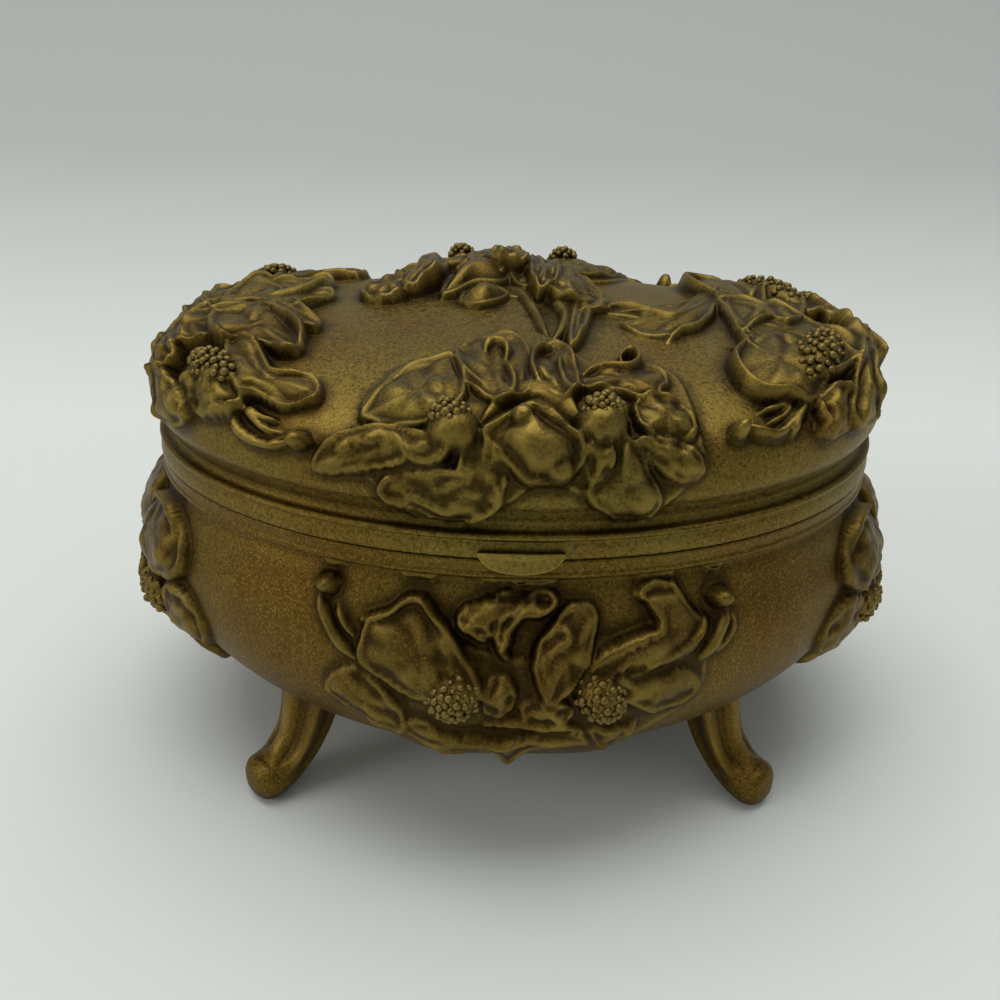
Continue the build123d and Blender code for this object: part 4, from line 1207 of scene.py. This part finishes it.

# %% [markdown]
# The lining isn't in the photograph. Caskets of this kind were lined with thin silk over padding, gathered into small
# pleats, with a twisted braid over its edge, so that is what this one has. The cloth has a fine weave and a soft sheen,
# and its colour is painted darker and yellower down in the folds, as shade.
# %% Silk, card and braid
def silk(name, colour, deep):
    made, tree, shader, place = new_material(name)
    age, slub = tree.noise(place, 55.0, 4.0), tree.noise(place, 420.0, 2.0)
    body = tree.mix(tree.span(age, 0.35, 0.7, 0.0, 0.5), colour, deep)
    # Painted shade: the dark mark takes the cloth towards its deeper, yellower colour in folds and tuft pits.
    body = tree.mix(tree.math("MULTIPLY", tree.mark("dark"), 0.7), body, deep)
    tree.feed(shader["Base Color"], body)
    tree.feed(shader["Roughness"], tree.span(slub, 0.3, 0.7, 0.42, 0.6))
    shader["Sheen Weight"].default_value = 0.35
    shader["Sheen Roughness"].default_value = 0.4
    warp, weft = (tree.add("ShaderNodeTexWave", {"Scale": 900.0, "Distortion": 0.6, "Vector": place}, "Fac",
                           bands_direction=way) for way in ("DIAGONAL", "Z"))
    weave = tree.math("ADD", tree.math("MULTIPLY", warp, weft), slub)
    tree.feed(shader["Normal"], tree.bump(weave, 0.25, 0.00008))
    return made


def card_paper():
    made, tree, shader, place = new_material("lining_card")
    fibre = tree.noise(place, 600.0, 5.0, 0.7)
    tree.feed(shader["Base Color"], tree.mix(tree.span(fibre, 0.35, 0.65), (0.36, 0.30, 0.21), (0.27, 0.21, 0.14)))
    shader["Roughness"].default_value = 0.9
    tree.feed(shader["Normal"], tree.bump(fibre, 1.0, 0.0001))
    return made


ivory_silk = silk("ivory_silk", (0.66, 0.58, 0.40), (0.42, 0.31, 0.16))
braid_silk = silk("braid_silk", (0.50, 0.36, 0.16), (0.26, 0.16, 0.06))
card_brown = card_paper()
for node in ("base_wall_card", "base_floor_card", "lid_lining_card"):
    for place in bpy.data.objects[node].material_slots:
        place.material = card_brown


print("lining materials:", ivory_silk.name, braid_silk.name, card_brown.name)

# %% [markdown]
# Gathered silk falls in pleats. Each is a rounded wave round the wall, with the waves' spacing left a little uneven,
# and a second, coarser set creases the first. The silk is closed behind, where it lies on its card.
# %% Gathered silk on the walls
SILK_TOP, SILK_FOOT, WALL_PLEATS = 55.2, 18.4, 74


def pleats(turns, count, seed):
    rng = np.random.default_rng(seed)
    waves = sum(rng.uniform(0.15, 0.5) * np.sin(k * turns + rng.uniform(0, 6.28)) for k in range(3, 11))
    return np.abs(np.sin(count * turns / 2 + waves * 1.1)) ** 0.8


def wall_silk(columns=720, steps=46, back=2.85, front=3.3):
    heights, index = np.linspace(SILK_TOP, SILK_FOOT, steps + 1), np.arange(len(base_wall.z))
    t, s = np.meshgrid(all_round(columns), np.interp(heights, base_wall.z[::-1], index[::-1]))
    down = np.linspace(0, 1, steps + 1)[:, None]
    full = np.sin(math.pi * np.clip(down, 0.0, 1.0)) ** 0.5
    gather = pleats(t + 0.05 * np.sin(down * 3), WALL_PLEATS, 5)
    crease = pleats(t - 0.08 * np.sin(down * 4 + 1), WALL_PLEATS // 2, 6)
    puff = (0.25 + 0.6 * gather + 0.25 * crease) * (0.35 + 0.65 * full)
    ground, normal = base_wall.point(s, t), base_wall.normal(s, t)
    inner = ground - normal * (front + puff)[..., None]
    outer = ground - normal * back
    points = np.concatenate([outer, inner[::-1]], axis=0)
    last = (len(points) - 1) * columns
    faces = ring_faces(len(points), columns)
    faces += [(last + j, last + (j + 1) % columns, (j + 1) % columns, j) for j in range(columns)]
    flat = points.reshape(-1, 3)
    a, b, c = (flat[[f[n] for f in faces[:columns]]] for n in (0, 1, 2))
    if (np.cross(b - a, c - a) * normal[0]).sum() < 0:
        faces = [f[::-1] for f in faces]
    # Painted shade: the silk's face is marked dark in the valleys of its pleats.
    dark = np.concatenate([np.zeros_like(puff), (1 - gather)[::-1]]).ravel()
    return dressed(to_object("base_wall_silk", [Shape(flat, faces, None, dark)]), ivory_silk, "base",
                   ["base_wall_lining"])


made = wall_silk()
print(made.name, triangles(made), "triangles")

# %% [markdown]
# The floor's cushion is buttoned: each tuft is a narrow pit in a wide dip. The pad in the lid is gathered towards the
# middle, where the pleats run out into one soft dome.
# %% Pads in the floor and the lid
TUFTS = ((0, 0), (20, 0), (-20, 0), (10, 13), (-10, 13), (10, -13), (-10, -13), (30, 13), (-30, 13), (30, -13),
         (-30, -13))


def floor_pad():
    low, high = (np.array(c) * 1000 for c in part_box("base_floor_pad"))
    half = (high - low) / 2 - [0.2, 0.2, 0]
    columns, steps = 240, 60
    turns = all_round(columns)
    part = np.linspace(0, 1, steps + 1)[1:, None]
    x, y = half[0] * part * np.cos(turns), half[1] * part * np.sin(turns)
    crown = 1.2 + (high[2] - low[2] - 0.6) * (1 - part ** 6) ** 0.5 * np.ones_like(x)
    tuft = np.zeros_like(x)
    for u, v in TUFTS:
        away = np.hypot(x - u, y - v)
        tuft += 1.5 * np.exp(-(away / 2.6) ** 2) + 0.55 * np.exp(-(away / 7.5) ** 2)
    top = np.maximum(low[2] + crown + 0.5 - tuft, low[2] + 0.5)
    upper = np.stack([x, y, top], axis=2)
    lower = np.stack([x * 0.995, y * 0.995, np.full_like(x, low[2])], axis=2)
    rings = np.concatenate([upper, lower[::-1]])
    flat = np.vstack([rings.reshape(-1, 3), [0, 0, top[0].mean()], [0, 0, low[2]]])
    count = len(rings)
    faces = ring_faces(count, columns)
    faces = [f[::-1] for f in faces]
    faces += [(j, (j + 1) % columns, count * columns) for j in range(columns)]
    faces += [((count - 1) * columns + (j + 1) % columns, (count - 1) * columns + j, count * columns + 1)
              for j in range(columns)]
    # Painted shade: the cushion is marked dark in its tuft pits.
    dark = np.concatenate([np.clip(tuft / 2, 0, 1).ravel(), np.zeros(x.size), [1, 0]])
    return dressed(to_object("base_floor_cushion", [Shape(flat, faces, None, dark)]), ivory_silk, "base",
                   ["base_floor_pad"])


floor_pad()


def lid_pad():
    columns, steps = 640, 70
    turns = all_round(columns)
    level = np.interp(65.4, lid_wall.z, np.arange(len(lid_wall.z)))
    s = np.linspace(level, len(lid_wall.z) - 6, steps)
    t, s = np.meshgrid(turns, s)
    down = np.linspace(0, 1, steps)[:, None]
    gather = pleats(t, 80, 9) * (1 - down ** 3) + down ** 3 * 0.5
    ground, normal = lid_wall.point(s, t), lid_wall.normal(s, t)
    full = np.sin(math.pi * np.clip(down * 0.9 + 0.05, 0, 1)) ** 0.5
    depth = 3.1 + (1.6 + 0.75 * gather) * full
    inner = ground - normal * depth[..., None]
    outer = ground - normal * 2.9
    rings = np.concatenate([outer[::-1], inner])
    count = len(rings)
    flat = np.vstack([rings.reshape(-1, 3), outer[-1].mean(axis=0)[None], (inner[-1].mean(axis=0) + [0, 0, 0.9])[None]])
    faces = ring_faces(count, columns)
    faces += [((j + 1) % columns, j, count * columns) for j in range(columns)]
    faces += [((count - 1) * columns + j, (count - 1) * columns + (j + 1) % columns, count * columns + 1)
              for j in range(columns)]
    mesh_faces = [f[::-1] for f in faces]
    # Painted shade: the pad's face is marked dark in the valleys of its pleats and at its gathered middle.
    dark = np.concatenate([np.zeros(outer.shape[:2]).ravel(), (1 - gather).ravel() * 0.9, [0, 1]])
    return dressed(to_object("lid_silk_pad", [Shape(flat, mesh_faces, None, dark)]), ivory_silk, "lid",
                   ["lid_lining_pad"])


lid_pad()
print("pads made: base_floor_cushion and lid_silk_pad")

# %% [markdown]
# A braid of three twisted strands hides the edge of the silk in both halves. The node tree takes the oval line,
# winds each strand round it, and gives it thickness.
# %% Twisted braid with Geometry Nodes
LINE_POINTS, STRAND_POINTS, STRANDS, BRAID_TURNS = 400, 1500, 3, 120.0


def braid_tree(material):
    group, tree, come = new_group("twisted_braid", ("Strand radius", "Twist radius", "Turns"))
    line = tree.add("GeometryNodeMeshToCurve", {0: come["Geometry"]})
    fine = tree.add("GeometryNodeResampleCurve", {0: line, "Count": STRAND_POINTS})
    along = tree.add("GeometryNodeSplineParameter", {}, "Factor")
    tangent = tree.add("GeometryNodeInputTangent", {})
    ring = tree.add("GeometryNodeCurvePrimitiveCircle", {"Resolution": 8, "Radius": come["Strand radius"]})
    join = tree.nodes.new("GeometryNodeJoinGeometry")
    for strand in range(STRANDS):
        angle = tree.math("MULTIPLY", tree.math("MULTIPLY", along, come["Turns"]), 2 * math.pi)
        angle = tree.math("ADD", angle, strand * 2 * math.pi / STRANDS)
        swing, lift = (tree.math("MULTIPLY", tree.math(how, angle), come["Twist radius"]) for how in ("COSINE", "SINE"))
        side = tree.add("ShaderNodeVectorMath", {0: tangent, 1: (0, 0, 1)}, operation="CROSS_PRODUCT")
        out = tree.add("ShaderNodeVectorMath", {0: side, "Scale": swing}, operation="SCALE")
        rise = tree.add("ShaderNodeCombineXYZ", {2: lift})
        total = tree.add("ShaderNodeVectorMath", {0: out, 1: rise}, operation="ADD")
        shift = tree.add("GeometryNodeSetPosition", {0: fine, "Offset": total})
        tree.links.new(tree.add("GeometryNodeCurveToMesh", {0: shift, 1: ring}), join.inputs[0])
    painted(tree, join.outputs[0], material)
    return group


braid = braid_tree(braid_silk)
for node, body in (("base_lining_braid", "base"), ("lid_lining_braid", "lid")):
    low, high = (np.array(c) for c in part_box(node))
    radius = (high[2] - low[2]) / 2
    half = (high - low) / 2 - radius
    turns = all_round(LINE_POINTS)
    level = np.full(LINE_POINTS, (low[2] + high[2]) / 2)
    line = np.stack([half[0] * np.cos(turns), half[1] * np.sin(turns), level], axis=1)
    sizes = {"Strand radius": radius * 0.46, "Twist radius": radius * 0.54, "Turns": BRAID_TURNS}
    made = grown(node + "_twist", line, braid, sizes, [(i, (i + 1) % LINE_POINTS) for i in range(LINE_POINTS)])
    dressed(made, braid_silk, body, [node])
    print(made.name, len(made.data.polygons), "faces")

# %% [markdown]
# The hinges were added after gilding, from drawn brass, and their pins are steel. Their shapes are right as they come
# with the frame, so they only get their finishes: brass with fine drawing lines and patchy brown tarnish, and steel
# that has lost its shine. In both, ambient occlusion paints shade in that brown into every recess.
# %% Hinge brass and pin steel
def drawn_metal(name, colour, tarnish_and_shade, rough):
    made, tree, shader, place = new_material(name)
    cloud = tree.noise(place, 260.0, 4.0)
    stretch = tree.add("ShaderNodeMapping", {"Scale": (0.12, 1.0, 1.0), "Vector": place})
    lines = tree.noise(stretch, 5200.0, 2.0)
    body = tree.mix(tree.span(cloud, 0.4, 0.7, 0.0, 0.7), colour, tarnish_and_shade)
    # Painted shade: ambient occlusion darkens recesses towards the tarnish colour.
    body = tree.mix(tree.span(tree.hollows(0.002), 0.4, 0.9, 0.8, 0.0), body, tarnish_and_shade)
    tree.feed(shader["Base Color"], body)
    shader["Metallic"].default_value = 0.95
    tree.feed(shader["Roughness"], tree.span(lines, 0.3, 0.7, rough - 0.08, rough + 0.12))
    tree.feed(shader["Normal"], tree.bump(lines, 0.3, 0.00003))
    return made


hinge_brass = drawn_metal("hinge_brass", (0.60, 0.43, 0.17), (0.16, 0.09, 0.03), 0.36)
pin_steel = drawn_metal("pin_steel", (0.44, 0.43, 0.41), (0.14, 0.11, 0.08), 0.38)
for name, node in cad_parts.items():
    if name.startswith("hinge_"):
        for place in node.material_slots:
            place.material = pin_steel if name.endswith("_pin") else hinge_brass
print("hinges finished")

# %% [markdown]
# The floor and the wall behind are one pale sweep, lit by a large soft light above. Its colour is painted darker
# further back, as shade where less of that light reaches.
# %% Floor, sweep and lights
def sweep():
    paper, tree, shader, place = new_material("pale_paper")
    away = tree.add("ShaderNodeSeparateXYZ", {0: place}, "Y")
    # Painted shade: the paper's colour darkens with distance behind the object.
    near, beyond = tree.span(away, 0.14, 0.52, 0.0, 0.41), tree.span(away, 0.52, 1.9, 0.0, 0.23)
    tree.feed(shader["Base Color"], tree.mix(tree.math("ADD", near, beyond), (0.76, 0.80, 0.785), (0.0, 0.0, 0.0)))
    shader["Roughness"].default_value = 0.85
    mesh = bpy.data.meshes.new("floor")
    bend, curve = 1.3, [i * math.pi / 2 / 24 for i in range(25)]
    line = [(-5.0, 0.0)] + [(0.25 + bend * math.sin(q), bend - bend * math.cos(q)) for q in curve] + [(1.55, 2.6)]
    points = [(x, y, z) for y, z in line for x in (-5.0, 5.0)]
    faces = [(2 * i, 2 * i + 1, 2 * i + 3, 2 * i + 2) for i in range(len(line) - 1)]
    mesh.from_pydata(points, [], faces)
    mesh.shade_smooth()
    made = bpy.data.objects.new("floor", mesh)
    made.data.materials.append(paper)
    bpy.context.scene.collection.objects.link(made)


sweep()


def soft_light(name, where, aim, size, power):
    data = bpy.data.lights.new(name, "AREA")
    data.shape = "RECTANGLE"
    data.size, data.size_y = size
    data.energy = power
    data.color = (1.0, 0.98, 0.95)
    lamp = bpy.data.objects.new(name, data)
    lamp.location = where
    away = Vector(where) - Vector(aim)
    lamp.rotation_euler = away.to_track_quat("Z", "Y").to_euler()
    bpy.context.scene.collection.objects.link(lamp)


soft_light("overhead", (-0.1, 0.5, 2.6), (0.0, 0.05, 0.0), (3.0, 2.2), 54.0)
soft_light("left_fill", (-2.0, -0.9, 1.1), (0.0, 0.0, 0.04), (1.2, 0.9), 9.0)

sky = bpy.data.worlds.new("room")
bpy.context.scene.world = sky
sky.use_nodes = True
sky.node_tree.nodes["Background"].inputs["Color"].default_value = (0.62, 0.63, 0.62, 1.0)
sky.node_tree.nodes["Background"].inputs["Strength"].default_value = 0.48
bpy.context.scene.view_settings.view_transform = "Standard"
